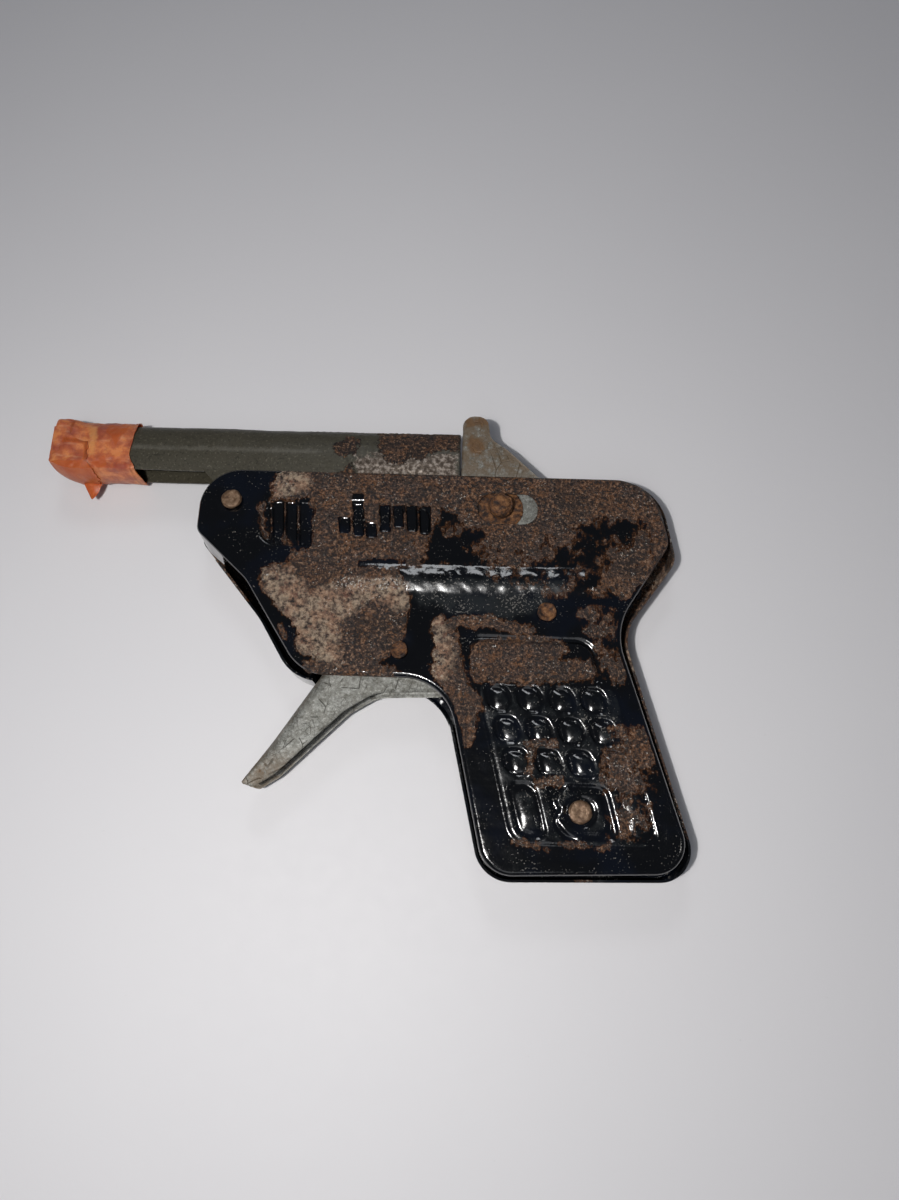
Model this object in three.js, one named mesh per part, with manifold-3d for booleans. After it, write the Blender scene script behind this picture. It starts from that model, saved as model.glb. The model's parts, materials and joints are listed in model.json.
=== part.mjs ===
// A break-open tin toy pistol, lying on its right side.
// Millimetres. +Z is up, -X points along the barrel to the muzzle and +Y is the barrel's top side.
// Every x and y below is measured from the hammer's pivot.

import * as THREE from 'three';
import Module from 'manifold-3d';
import { mergeVertices } from 'three/addons/utils/BufferGeometryUtils.js';

const wasm = await Module();
wasm.setup();

// The hammer's pivot, seen from the middle of the toy's footprint.
const HAMMER_PIVOT_X = 28.1;
const HAMMER_PIVOT_Y = 24.9;

// Sheet metal and the stack of layers from the table upwards.
const SHEET = 0.5;
const TAIL_HEIGHT = 0.9;
const BODY_THICKNESS = 10.4;
const RIGHT_FACE = TAIL_HEIGHT;
const LEFT_FACE = RIGHT_FACE + BODY_THICKNESS;
const RIGHT_INSIDE = RIGHT_FACE + SHEET;
const LEFT_INSIDE = LEFT_FACE - SHEET;
const MIDDLE = (RIGHT_FACE + LEFT_FACE) / 2;
const CLEARANCE = 0.1;

const LEFT_FLANGE = 6.7;
const RIGHT_FLANGE = 7.0;
const BEND_RADIUS = 0.9;

const BARREL_PIVOT = [-52.4, 0];
const HAMMER_PIVOT = [0, 0];
const TRIGGER_PIVOT = [-18.1, -29.0];
const ANCHOR = [9.1, -20.8];
const GRIP_RIVET = [15.2, -57.0];

const SHANK_RADIUS = 1.1;
const TUBE_RADIUS = 1.9;
const STUD_RADIUS = 1.4;

const BARREL_WIDTH = 7.0;
const BARREL_TOP = 17.7;
const BARREL_UNDERSIDE = 6.8;
const BARREL_REAR = -8.4;
const MUZZLE = -84.0;

const HAMMER_WIDTH = 8.0;
const TRIGGER_WIDTH = 5.5;

// The arm of the trigger meets the tail of the hammer on the line between their pivots.
const ARM_ANGLE = 47.5;
const ARM_LENGTH = 22.8;
const TAIL_ANGLE = 257;
const TAIL_LENGTH = 12.75;
const ENGAGEMENT_GAP = 0.2;

// Small fillets are cut more coarsely than large ones.
const LARGE_RADIUS = 2;
const COARSE_STEP = THREE.MathUtils.degToRad(45);
const FINE_STEP = THREE.MathUtils.degToRad(15);
const ROUND_SEGMENTS = 20;

const blackEnamel = metal('black_enamel', 0x15171b, 0.3, 0.0);
const olivePaint = metal('olive_paint', 0x4e4b38, 0.55, 0.2);
const zinc = metal('zinc_plate', 0x8f918b, 0.5, 0.8);
const rivetSteel = metal('rivet_steel', 0x8a6a48, 0.5, 0.7);
const rustySteel = metal('rusty_steel', 0x7a4a26, 0.85, 0.3);
const springWire = metal('spring_wire', 0x6d6a66, 0.4, 0.9);
const orangeTape = metal('orange_tape', 0xe0764f, 0.45, 0.0);

function metal(name, color, roughness, metalness) {
  return new THREE.MeshStandardMaterial({ name, color, roughness, metalness });
}

// ---------------------------------------------------------------- outlines

// A closed loop of points through corners given as [x, y, fillet radius].
function roundedLoop(corners) {
  const loop = [];
  corners.forEach(([x, y, radius], index) => {
    const corner = new THREE.Vector2(x, y);
    const back = towards(corner, corners.at(index - 1));
    const ahead = towards(corner, corners[(index + 1) % corners.length]);
    const half = back.angleTo(ahead) / 2;
    const centre = back.clone().add(ahead).normalize().multiplyScalar(radius / Math.sin(half)).add(corner);
    const start = back.multiplyScalar(radius / Math.tan(half)).add(corner).sub(centre);
    const end = ahead.multiplyScalar(radius / Math.tan(half)).add(corner).sub(centre);
    const sweep = Math.atan2(start.cross(end), start.dot(end));
    const steps = Math.max(1, Math.ceil(Math.abs(sweep) / (radius < LARGE_RADIUS ? COARSE_STEP : FINE_STEP)));
    for (let step = 0; step <= steps; step += 1) {
      const angle = start.angle() + (sweep * step) / steps;
      loop.push(new THREE.Vector2(Math.cos(angle), Math.sin(angle)).multiplyScalar(radius).add(centre));
    }
  });
  return loop;
}

function towards(corner, [x, y]) {
  return new THREE.Vector2(x, y).sub(corner).normalize();
}

// The counter-clockwise loop grown outwards by a distance, or shrunk if it is negative.
function offsetLoop(loop, distance) {
  return loop.map((point, index) => {
    const before = edgeNormal(loop.at(index - 1), point);
    const after = edgeNormal(point, loop[(index + 1) % loop.length]);
    const mitre = before.clone().add(after).normalize();
    return mitre.multiplyScalar(distance / mitre.dot(before)).add(point);
  });
}

function edgeNormal(from, to) {
  const edge = to.clone().sub(from).normalize();
  return new THREE.Vector2(edge.y, -edge.x);
}

function circle([x, y], radius, segments = ROUND_SEGMENTS) {
  return Array.from({ length: segments }, (_, index) => {
    const angle = (index / segments) * 2 * Math.PI;
    return new THREE.Vector2(x + radius * Math.cos(angle), y + radius * Math.sin(angle));
  });
}

function rectangle(left, bottom, right, top) {
  return [[left, bottom], [right, bottom], [right, top], [left, top]].map(([x, y]) => new THREE.Vector2(x, y));
}

// A point reached from a pivot by going along a direction and then sideways to its left.
function reach([x, y], degrees, along, left = 0) {
  const angle = THREE.MathUtils.degToRad(degrees);
  return [
    x + along * Math.cos(angle) - left * Math.sin(angle),
    y + along * Math.sin(angle) + left * Math.cos(angle),
  ];
}

// ---------------------------------------------------------------- solids

function solid(geometry) {
  geometry.deleteAttribute('uv');
  geometry.deleteAttribute('normal');
  const welded = mergeVertices(geometry, 1e-5);
  return new wasm.Manifold(
    new wasm.Mesh({
      numProp: 3,
      vertProperties: new Float32Array(welded.attributes.position.array),
      triVerts: new Uint32Array(welded.index.array),
    }),
  );
}

// A loop in the plan view, filled between two heights.
function plate(loop, low, high) {
  const options = { depth: high - low, bevelEnabled: false };
  return solid(new THREE.ExtrudeGeometry(new THREE.Shape(loop), options).translate(0, 0, low));
}

// A plate whose upper rim is rounded over.
function domedPlate(loop, low, high, radius, segments = 2) {
  const options = {
    depth: high - low,
    bevelThickness: radius,
    bevelSize: radius,
    bevelOffset: -radius,
    bevelSegments: segments,
  };
  const shape = new THREE.Shape(loop);
  const rounded = solid(new THREE.ExtrudeGeometry(shape, options).translate(0, 0, low - radius));
  return rounded.subtract(plate(offsetLoop(loop, 1), low - 2 * radius - 1, low));
}

// A profile of points [radius, z] turned about a vertical axis.
function turned([x, y], profile) {
  const points = profile.map(([radius, z]) => new THREE.Vector2(radius, z));
  const body = new THREE.LatheGeometry(points, ROUND_SEGMENTS).rotateX(Math.PI / 2);
  return solid(body.translate(x, y, 0));
}

// A cross-section in Y and Z, drawn along X between two stations.
function along(sectionLoop, from, to) {
  const options = { depth: to - from, bevelEnabled: false };
  const body = new THREE.ExtrudeGeometry(new THREE.Shape(sectionLoop), options);
  const axes = new THREE.Matrix4().makeBasis(
    new THREE.Vector3(0, 1, 0),
    new THREE.Vector3(0, 0, 1),
    new THREE.Vector3(1, 0, 0),
  );
  return solid(body.applyMatrix4(axes).translate(from, 0, 0));
}

// Round wire along a list of points.
function wire(points, diameter) {
  const path = new THREE.CatmullRomCurve3(points);
  const section = new THREE.Shape(circle([0, 0], diameter / 2, 5));
  const options = { steps: Math.round(points.length * 1.3), extrudePath: path, bevelEnabled: false };
  return new THREE.ExtrudeGeometry(section, options);
}

function meshOf(name, shape, material) {
  const geometry = shape instanceof wasm.Manifold ? geometryOf(shape) : shape;
  const mesh = new THREE.Mesh(geometry, material);
  mesh.name = name;
  return mesh;
}

function geometryOf(manifold) {
  const data = manifold.getMesh();
  const geometry = new THREE.BufferGeometry();
  geometry.setAttribute('position', new THREE.BufferAttribute(data.vertProperties, 3));
  geometry.setIndex(new THREE.BufferAttribute(data.triVerts, 1));
  geometry.computeVertexNormals();
  return geometry;
}

// ---------------------------------------------------------------- pressed shells

const LEFT_OUTLINE = roundedLoop([
  [-58.9, 6.7, 8],
  [-58.9, -6.3, 2.5],
  [-48.3, -15.9, 8],
  [-36.2, -34.0, 9],
  [-9.2, -34.0, 10],
  [-1.3, -68.4, 6],
  [35.3, -66.7, 5.5],
  [21.8, -23.4, 12],
  [32.4, -6.5, 4],
  [29.6, 6.7, 9.5],
]);
// The right shell is larger, so that its flange wraps round the left one.
const RIGHT_OUTLINE = roundedLoop([
  [-60.1, 7.9, 8.8],
  [-60.1, -5.8, 3],
  [-45.3, -23.1, 14],
  [-38.0, -34.7, 9],
  [-9.95, -34.7, 10.7],
  [-1.8, -69.4, 6.5],
  [36.9, -68.0, 5.8],
  [23.7, -23.6, 9],
  [34.2, -8.9, 4.5],
  [30.9, 7.9, 10.5],
]);

const RIB_RECESS = 0.7;
const RIB_PITCH = 2.6;
const RIB_WIDTH = 0.9;
const BEAD_HEIGHT = 0.6;
const PAD_HEIGHT = 0.6;
const BUMP_HEIGHT = 0.6;
const BUMP_SIZE = 4.3;
const BUMP_ROWS = 3;
const BUMP_COLUMNS = 4;
const GRIP_LEAN = 14;
const RIB_LEAN = 5;

// Pressings are described with the outer face at z = 0 and the inside below it.
function raise(sheet, loop, height) {
  const hollow = plate(offsetLoop(loop, -SHEET), -2 * SHEET, height - SHEET);
  return sheet.add(plate(loop, -SHEET / 2, height)).subtract(hollow);
}

function recess(sheet, loop, depth) {
  const floor = plate(offsetLoop(loop, SHEET), -SHEET - depth, -SHEET / 2);
  return sheet.add(floor).subtract(plate(loop, -depth, SHEET));
}

// The row of grip ribs: a sunk window, round at one end, with upright ribs standing in it.
function ribWindow(sheet, left, right, roundRadiusLeft, roundRadiusRight) {
  const top = 0.6;
  const bottom = -9.2;
  const ribHeight = top - bottom - 1.8;
  const window = roundedLoop([
    [left, top, roundRadiusLeft],
    [left, bottom, roundRadiusLeft],
    [right, bottom, roundRadiusRight],
    [right, top, roundRadiusRight],
  ]);
  let pressed = recess(sheet, window, RIB_RECESS);
  for (let x = left + RIB_PITCH; x < right - RIB_WIDTH; x += RIB_PITCH) {
    const rib = leaningPad([x, (top + bottom) / 2], RIB_WIDTH, ribHeight, 0.2, RIB_LEAN);
    pressed = pressed.add(plate(rib, -RIB_RECESS - 0.1, 0));
  }
  return pressed;
}

function bumpCentre(row, column) {
  return [0.4 + 5.75 * column + 1.75 * row, -37.3 - 5.7 * row];
}

// A rounded box whose sides lean, with its top further forward than its bottom.
function leaningPad([x, y], width, height, radius, lean = GRIP_LEAN) {
  const shift = (height / 2) * Math.tan(THREE.MathUtils.degToRad(lean));
  return roundedLoop([
    [x - width / 2 - shift, y + height / 2, radius],
    [x - width / 2 + shift, y - height / 2, radius],
    [x + width / 2 + shift, y - height / 2, radius],
    [x + width / 2 - shift, y + height / 2, radius],
  ]);
}

function pressGrip(sheet) {
  let pressed = raise(sheet, leaningPad([6.8, -30.2], 22.5, 7.4, 2.5), PAD_HEIGHT);
  for (let row = 0; row < BUMP_ROWS; row += 1) {
    for (let column = 0; column < BUMP_COLUMNS; column += 1) {
      pressed = raise(pressed, leaningPad(bumpCentre(row, column), BUMP_SIZE, BUMP_SIZE, 1.5), BUMP_HEIGHT);
    }
  }
  pressed = raise(pressed, leaningPad([5.9, -56.9], 4.2, 9.0, 1.6), BUMP_HEIGHT);
  return raise(pressed, leaningPad([25.0, -56.8], 4.6, 9.0, 1.6), BUMP_HEIGHT);
}

function pressSide(sheet) {
  const bead = roundedLoop([[-32, -12.6, 2.8], [-32, -18.4, 2.8], [19.5, -17.8, 2.8], [19.5, -12.0, 2.8]]);
  let pressed = raise(sheet, bead, BEAD_HEIGHT);
  pressed = ribWindow(pressed, -46.8, -36.0, 4.0, 0.8);
  return ribWindow(pressed, -31.3, -13.3, 0.8, 4.0);
}

function tray(outline, depth) {
  const outside = domedPlate(outline, -depth, 0, BEND_RADIUS);
  const insideLoop = offsetLoop(outline, -SHEET);
  return outside.subtract(domedPlate(insideLoop, -depth - 1, -SHEET, BEND_RADIUS - SHEET, 1));
}

function drill(sheet, centres, radius) {
  return centres.reduce((rest, centre) => rest.subtract(plate(circle(centre, radius), -5, 5)), sheet);
}

// The flange is missing round the nose, over the hammer, and where the trigger comes out.
function cutFlange(half, depth, noseOpeningBottom, hammerOpeningFront) {
  const below = -SHEET - BEND_RADIUS * 0.5;
  const openings = [
    rectangle(-70, noseOpeningBottom, -46.7, 20),
    rectangle(hammerOpeningFront, 0, 10.5, 20),
    rectangle(-34, -41.5, -2, -30),
  ];
  return openings.reduce((rest, opening) => rest.subtract(plate(opening, -depth - 1, below)), half);
}

const RIVET_HOLE = SHANK_RADIUS + CLEARANCE;
const FOUR_RIVETS = [BARREL_PIVOT, TRIGGER_PIVOT, ANCHOR, GRIP_RIVET];

function leftShell() {
  const slot = roundedLoop([[-4.5, 2.85, 3.1], [-4.5, -3.45, 3.1], [7.2, -3.45, 3.1], [7.2, 2.85, 3.1]]);
  let half = cutFlange(tray(LEFT_OUTLINE, LEFT_FLANGE), LEFT_FLANGE, -6.0, -11);
  half = pressGrip(pressSide(half));
  half = drill(half, FOUR_RIVETS, RIVET_HOLE).subtract(plate(slot, -5, 5));
  return half.translate(0, 0, LEFT_FACE);
}

function rightShell() {
  let half = cutFlange(tray(RIGHT_OUTLINE, RIGHT_FLANGE), RIGHT_FLANGE, -11.3, -50);
  half = pressGrip(pressSide(half));
  half = drill(half, FOUR_RIVETS, RIVET_HOLE);
  half = drill(half, [HAMMER_PIVOT], STUD_RADIUS + CLEARANCE);
  return half.mirror([0, 0, 1]).translate(0, 0, RIGHT_FACE);
}

// ---------------------------------------------------------------- rivets and tubes

// A solid rivet: flat formed tail on the table side, domed head on the left shell.
function rivet(centre, headRadius, headHeight = 0.8) {
  const head = LEFT_FACE + CLEARANCE / 2;
  const tail = RIGHT_FACE - CLEARANCE / 2;
  return turned(centre, [
    [0, 0],
    [1.7, 0],
    [2.0, 0.3],
    [2.0, tail],
    [SHANK_RADIUS, tail],
    [SHANK_RADIUS, head],
    [headRadius, head],
    [headRadius * 0.94, head + headHeight * 0.5],
    [headRadius * 0.65, head + headHeight * 0.92],
    [0, head + headHeight],
  ]);
}

function spacerTube(centre) {
  const tube = plate(circle(centre, TUBE_RADIUS), RIGHT_INSIDE + CLEARANCE, LEFT_INSIDE - CLEARANCE);
  return tube.subtract(plate(circle(centre, RIVET_HOLE), 0, LEFT_FACE));
}

// The stud's cup-shaped head stands in the slot, on the washer below it.
function hammerStud() {
  const seat = LEFT_INSIDE;
  const tail = RIGHT_FACE - CLEARANCE / 2;
  return turned(HAMMER_PIVOT, [
    [0, 0],
    [2.0, 0],
    [2.3, 0.3],
    [2.3, tail],
    [STUD_RADIUS, tail],
    [STUD_RADIUS, seat],
    [2.35, seat],
    [2.35, seat + 2.2],
    [2.1, seat + 2.35],
    [1.8, seat + 2.1],
    [1.7, seat + 2.5],
    [1.2, seat + 2.75],
    [0, seat + 2.8],
  ]);
}

function washer(low) {
  const disc = plate(circle(HAMMER_PIVOT, 4.4), low, low + SHEET);
  return disc.subtract(plate(circle(HAMMER_PIVOT, STUD_RADIUS + CLEARANCE), low - 1, low + 1));
}

// ---------------------------------------------------------------- barrel and tape

// The inverted channel's outer section in Y and Z, grown by a margin and ending at a given underside.
function channelSection(margin, underside) {
  const half = BARREL_WIDTH / 2 + margin;
  const crown = BARREL_TOP + margin;
  return roundedLoop([
    [underside, MIDDLE - half, 0.05],
    [crown, MIDDLE - half, half - 0.05],
    [crown, MIDDLE + half, half - 0.05],
    [underside, MIDDLE + half, 0.05],
  ]).reverse();
}

function barrel() {
  const ear = roundedLoop([
    [-60.8, 8.0, 0.2],
    [-57.1, 4.8, 3],
    [-57.1, -4.7, 4.6],
    [-47.7, -4.7, 4.6],
    [-47.7, 8.0, 0.2],
  ]);
  const outside = along(channelSection(0, BARREL_UNDERSIDE), MUZZLE, BARREL_REAR);
  const lowerHalf = MIDDLE - BARREL_WIDTH / 2;
  const ears = plate(ear, lowerHalf, lowerHalf + BARREL_WIDTH);
  const hollow = along(channelSection(-SHEET, -20), MUZZLE - 1, BARREL_REAR + 1);
  return outside.add(ears).subtract(hollow).subtract(plate(circle(BARREL_PIVOT, TUBE_RADIUS + CLEARANCE), 0, 12));
}

// The flat plate across the barrel's rear end, which the cap lies on.
function breechPlate() {
  return along(channelSection(-SHEET - CLEARANCE, BARREL_UNDERSIDE + 0.2), BARREL_REAR - 1.1, BARREL_REAR - 0.2);
}

// The side view of what the tape closes in, past the muzzle, with its lower front corner folded back.
const TAPED_SIDE = roundedLoop([
  [-90.3, 30, 0.5],
  [-90.2, 9.9, 1.0],
  [-84.9, 6.6, 1.5],
  [-60, 6.6, 0.5],
  [-60, 30, 0.5],
]);

// One layer of tape round the muzzle, between two distances from the barrel, inside a window in the side view.
function tapeLayer(inner, outer, window) {
  const skin = (margin, reachOut) => along(channelSection(margin, 0), -100 - reachOut, -65 + reachOut)
    .intersect(plate(offsetLoop(TAPED_SIDE, margin - 0.2), 0, 12));
  return skin(outer, 0).subtract(skin(inner, 1)).intersect(plate(window, 0, 12));
}

function tapeWrap() {
  return tapeLayer(0.2, 0.55, roundedLoop([[-94, 20, 1], [-94, 4, 1], [-73.2, 4, 0.2], [-74.6, 20, 0.2]]));
}

// A second strip over the lower part of the muzzle, with a torn end hanging from its lower edge.
function tapeStrip() {
  const window = roundedLoop([[-94, 12.7, 0.4], [-94, 4, 1], [-80.2, 4, 0.5], [-82.2, 12.7, 0.4]]);
  const tab = roundedLoop([[-86.7, 6.0, 0.3], [-84.6, 2.4, 0.8], [-83.4, 2.4, 0.8], [-82.0, 5.8, 0.3]]);
  return tapeLayer(0.75, 1.1, window).add(plate(tab, 3.2, 3.7));
}

// ---------------------------------------------------------------- hammer and trigger

const HAMMER_LOW = MIDDLE - HAMMER_WIDTH / 2;
const HAMMER_HIGH = MIDDLE + HAMMER_WIDTH / 2;
const TRIGGER_LOW = MIDDLE - TRIGGER_WIDTH / 2;
const TRIGGER_HIGH = MIDDLE + TRIGGER_WIDTH / 2;
const WEB_INSET = 0.04;
const SPRING_HOLE = [-3.2, -3.0];
const HAMMER_SPRING_HEIGHT = HAMMER_HIGH - SHEET - 2.1;

function twoLeaves(loop, low, high) {
  return plate(loop, low, low + SHEET).add(plate(loop, high - SHEET, high));
}

// A straight strip of sheet joining the two leaves. It lies to the left of the line from one point to another,
// a hair inside the leaves' edge.
function web(from, to, low, high) {
  const start = new THREE.Vector2(...from);
  const end = new THREE.Vector2(...to);
  const side = end.clone().sub(start).normalize().rotateAround(new THREE.Vector2(), Math.PI / 2);
  const near = side.clone().multiplyScalar(WEB_INSET);
  const far = side.clone().multiplyScalar(WEB_INSET + SHEET);
  const corners = [start.clone().add(near), end.clone().add(near), end.clone().add(far), start.clone().add(far)];
  return plate(corners, low, high);
}

function hammer() {
  const tailPoint = (along_, left) => reach(HAMMER_PIVOT, TAIL_ANGLE, along_, left);
  const leaf = roundedLoop([
    [-7.9, 20.0, 2.4],
    [-7.9, -4.5, 4],
    [...tailPoint(TAIL_LENGTH, -ENGAGEMENT_GAP - 3.0), 0.6],
    [...tailPoint(TAIL_LENGTH, -ENGAGEMENT_GAP), 0.3],
    [...tailPoint(7.6, -ENGAGEMENT_GAP), 0.8],
    [8.2, -5.5, 5],
    [8.8, 5.6, 3],
    [1.3, 12.6, 4],
    [-2.4, 15.2, 3],
    [-2.9, 20.0, 2.3],
  ]);
  const front = web([-7.9, 17.4], [-7.9, -0.5], HAMMER_LOW, HAMMER_HIGH);
  const tailStart = tailPoint(TAIL_LENGTH - 0.3, -ENGAGEMENT_GAP);
  const tailEnd = tailPoint(TAIL_LENGTH - 2.6, -ENGAGEMENT_GAP);
  return twoLeaves(leaf, HAMMER_LOW, HAMMER_HIGH)
    .add(front)
    .add(web(tailStart, tailEnd, HAMMER_LOW, HAMMER_HIGH))
    .subtract(plate(circle(HAMMER_PIVOT, STUD_RADIUS + CLEARANCE), 0, 14))
    .subtract(plate(circle(SPRING_HOLE, 0.5, 12), MIDDLE, 14));
}

function trigger() {
  const armPoint = (along_, left) => reach(TRIGGER_PIVOT, ARM_ANGLE, along_, left);
  const tip = [-45.7, -54.0];
  const shoulder = [-27.5, -25.0];
  const leaf = roundedLoop([
    [...tip, 0.5],
    [-43.2, -54.6, 0.8],
    [-39.6, -52.2, 3],
    [-27.8, -40.2, 6],
    [-22.3, -36.7, 7],
    [-7.8, -36.0, 3],
    [-8.5, -27.0, 4],
    [...armPoint(ARM_LENGTH, -ENGAGEMENT_GAP - 2.4), 0.6],
    [...armPoint(ARM_LENGTH, -ENGAGEMENT_GAP), 0.3],
    [...armPoint(9.0, -ENGAGEMENT_GAP), 3],
    [...shoulder, 4],
  ]);
  const frontTop = new THREE.Vector2(...tip).lerp(new THREE.Vector2(...shoulder), 0.86).toArray();
  const frontTip = new THREE.Vector2(...tip).lerp(new THREE.Vector2(...shoulder), 0.03).toArray();
  const armStart = armPoint(ARM_LENGTH - 0.3, -ENGAGEMENT_GAP);
  const armWeb = web(armStart, armPoint(14, -ENGAGEMENT_GAP), TRIGGER_LOW, TRIGGER_HIGH);
  return twoLeaves(leaf, TRIGGER_LOW, TRIGGER_HIGH)
    .add(web(frontTop, frontTip, TRIGGER_LOW, TRIGGER_HIGH))
    .add(armWeb)
    .subtract(plate(circle(TRIGGER_PIVOT, TUBE_RADIUS + CLEARANCE), 0, 14));
}

// ---------------------------------------------------------------- springs

const WIRE = 0.5;

// Points of a coil about the line between two places.
function coil(start, end, radius, turns, pointsPerTurn = 7) {
  const axis = end.clone().sub(start);
  const across = new THREE.Vector3(0, 0, 1);
  const side = axis.clone().normalize().cross(across);
  return Array.from({ length: turns * pointsPerTurn + 1 }, (_, index) => {
    const angle = (index / pointsPerTurn) * 2 * Math.PI;
    return start.clone()
      .addScaledVector(axis, index / (turns * pointsPerTurn))
      .addScaledVector(side, radius * Math.cos(angle))
      .addScaledVector(across, radius * Math.sin(angle));
  });
}

// The spring that drives the hammer, stretched from the hammer to the anchor's tube.
function hammerSpring() {
  const height = HAMMER_SPRING_HEIGHT;
  const hook = new THREE.Vector3(...SPRING_HOLE, height);
  const anchor = new THREE.Vector3(...ANCHOR, height);
  const direction = anchor.clone().sub(hook).normalize();
  const coilStart = hook.clone().addScaledVector(direction, 2.6);
  const coilEnd = anchor.clone().addScaledVector(direction, -4.6);
  const heading = Math.atan2(direction.y, direction.x);
  const loopEnd = Array.from({ length: 10 }, (_, index) => {
    const angle = heading + Math.PI + 0.5 + (index / 9) * 1.45 * Math.PI;
    const radius = TUBE_RADIUS + WIRE / 2 + 0.25;
    return new THREE.Vector3(Math.cos(angle) * radius, Math.sin(angle) * radius, 0).add(anchor);
  });
  const hookEnd = [
    new THREE.Vector3(...SPRING_HOLE, HAMMER_HIGH + 0.1),
    new THREE.Vector3(...SPRING_HOLE, HAMMER_HIGH - SHEET - 0.5),
    hook.clone().addScaledVector(direction, 0.7).setZ(height + 0.9),
  ];
  return wire([...hookEnd, ...coil(coilStart, coilEnd, 1.2, 11), ...loopEnd], WIRE);
}

// The torsion spring wound on the trigger's tube: one leg inside the trigger, one under the anchor's tube.
function triggerSpring() {
  const radius = TUBE_RADIUS + WIRE / 2 + 0.4;
  const turns = 3.6;
  const steps = Math.round(turns * 9);
  const [x, y] = TRIGGER_PIVOT;
  const startAngle = -2.55;
  const winding = Array.from({ length: steps + 1 }, (_, index) => {
    const angle = startAngle + (index / steps) * turns * 2 * Math.PI;
    const z = MIDDLE + 1.2 - (index / steps) * 2.4;
    return new THREE.Vector3(x + radius * Math.cos(angle), y + radius * Math.sin(angle), z);
  });
  const legTip = new THREE.Vector3(ANCHOR[0] + 1.5, ANCHOR[1] - TUBE_RADIUS - 0.5, MIDDLE - 1.2);
  const triggerLeg = new THREE.Vector3(x - 9.0, y - 7.0, MIDDLE + 1.2);
  return wire([triggerLeg, ...winding, legTip], WIRE);
}

// ---------------------------------------------------------------- assembly

const toy = new THREE.Group();
toy.name = 'toy_pistol';
toy.position.set(HAMMER_PIVOT_X, HAMMER_PIVOT_Y, 0);

toy.add(
  meshOf('left_shell', leftShell(), blackEnamel),
  meshOf('right_shell', rightShell(), blackEnamel),
  meshOf('barrel_rivet', rivet(BARREL_PIVOT, 1.95), rivetSteel),
  meshOf('barrel_pivot_tube', spacerTube(BARREL_PIVOT), zinc),
  meshOf('trigger_rivet', rivet(TRIGGER_PIVOT, 1.6, 0.5), rustySteel),
  meshOf('trigger_pivot_tube', spacerTube(TRIGGER_PIVOT), zinc),
  meshOf('anchor_rivet', rivet(ANCHOR, 1.8, 0.6), rustySteel),
  meshOf('anchor_tube', spacerTube(ANCHOR), zinc),
  meshOf('grip_rivet', rivet(GRIP_RIVET, 2.05), rivetSteel),
  meshOf('grip_tube', spacerTube(GRIP_RIVET), zinc),
  meshOf('hammer_stud', hammerStud(), rustySteel),
  meshOf('hammer_washer_left', washer(LEFT_INSIDE - SHEET - CLEARANCE), rustySteel),
  meshOf('hammer_washer_right', washer(RIGHT_INSIDE + CLEARANCE), zinc),
  meshOf('hammer', hammer(), zinc),
  meshOf('hammer_spring', hammerSpring(), springWire),
  meshOf('trigger', trigger(), zinc),
  meshOf('trigger_spring', triggerSpring(), springWire),
  meshOf('barrel', barrel(), olivePaint),
  meshOf('breech_plate', breechPlate(), zinc),
  meshOf('muzzle_tape', tapeWrap(), orangeTape),
  meshOf('muzzle_tape_strip', tapeStrip(), orangeTape),
);

const root = new THREE.Group();
root.add(toy);
export default root;
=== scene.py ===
"""A rusty tin toy pistol lying on its right side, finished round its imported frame.

Plan lengths are millimetres from the hammer's pivot, and heights are millimetres above the floor.
piece() turns them into Blender's metres in the frame's own place.
"""

import json
import math

import bpy
import numpy as np
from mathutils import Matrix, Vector
from mathutils.geometry import delaunay_2d_cdt


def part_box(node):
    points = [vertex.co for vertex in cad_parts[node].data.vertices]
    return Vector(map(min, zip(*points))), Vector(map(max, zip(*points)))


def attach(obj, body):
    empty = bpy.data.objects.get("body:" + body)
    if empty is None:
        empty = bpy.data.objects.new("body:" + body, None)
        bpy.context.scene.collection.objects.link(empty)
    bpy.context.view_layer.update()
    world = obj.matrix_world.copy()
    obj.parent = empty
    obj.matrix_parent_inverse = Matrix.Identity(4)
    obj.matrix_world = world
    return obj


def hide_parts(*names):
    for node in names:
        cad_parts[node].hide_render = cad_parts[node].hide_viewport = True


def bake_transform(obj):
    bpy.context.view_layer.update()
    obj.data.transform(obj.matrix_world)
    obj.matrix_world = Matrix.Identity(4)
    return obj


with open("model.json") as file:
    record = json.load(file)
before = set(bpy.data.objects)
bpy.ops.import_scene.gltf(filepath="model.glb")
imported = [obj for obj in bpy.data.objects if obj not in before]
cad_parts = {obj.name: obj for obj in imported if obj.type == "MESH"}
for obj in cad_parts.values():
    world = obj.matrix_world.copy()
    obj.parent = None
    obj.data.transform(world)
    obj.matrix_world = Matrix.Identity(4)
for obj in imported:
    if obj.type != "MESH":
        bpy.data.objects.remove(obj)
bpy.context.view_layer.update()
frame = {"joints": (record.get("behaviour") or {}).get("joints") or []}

MM = 0.001


def joint_place(name):
    joint = next(j for j in frame["joints"] if j["name"] == name)
    return np.array(joint["pos_m"]) / MM


ORIGIN = joint_place("hammer_hinge") * (1, 1, 0)
MIDDLE = joint_place("hammer_hinge")[2]


def plan(place):
    """The plan position, from the hammer's pivot, of a place in the frame's millimetres."""
    return (np.asarray(place) - ORIGIN)[:2]


def node_box(name):
    low, high = (np.array(corner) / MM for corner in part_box(name))
    return low - ORIGIN, high - ORIGIN


def node_centre(name):
    low, high = node_box(name)
    return ((low + high) / 2)[:2]


BARREL_PIVOT = plan(joint_place("barrel_hinge"))
TRIGGER_PIVOT = plan(joint_place("trigger_hinge"))
ANCHOR = node_centre("anchor_rivet")
GRIP_RIVET = node_centre("grip_rivet")

# ---------------------------------------------------------------- camera, floor and light

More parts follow.
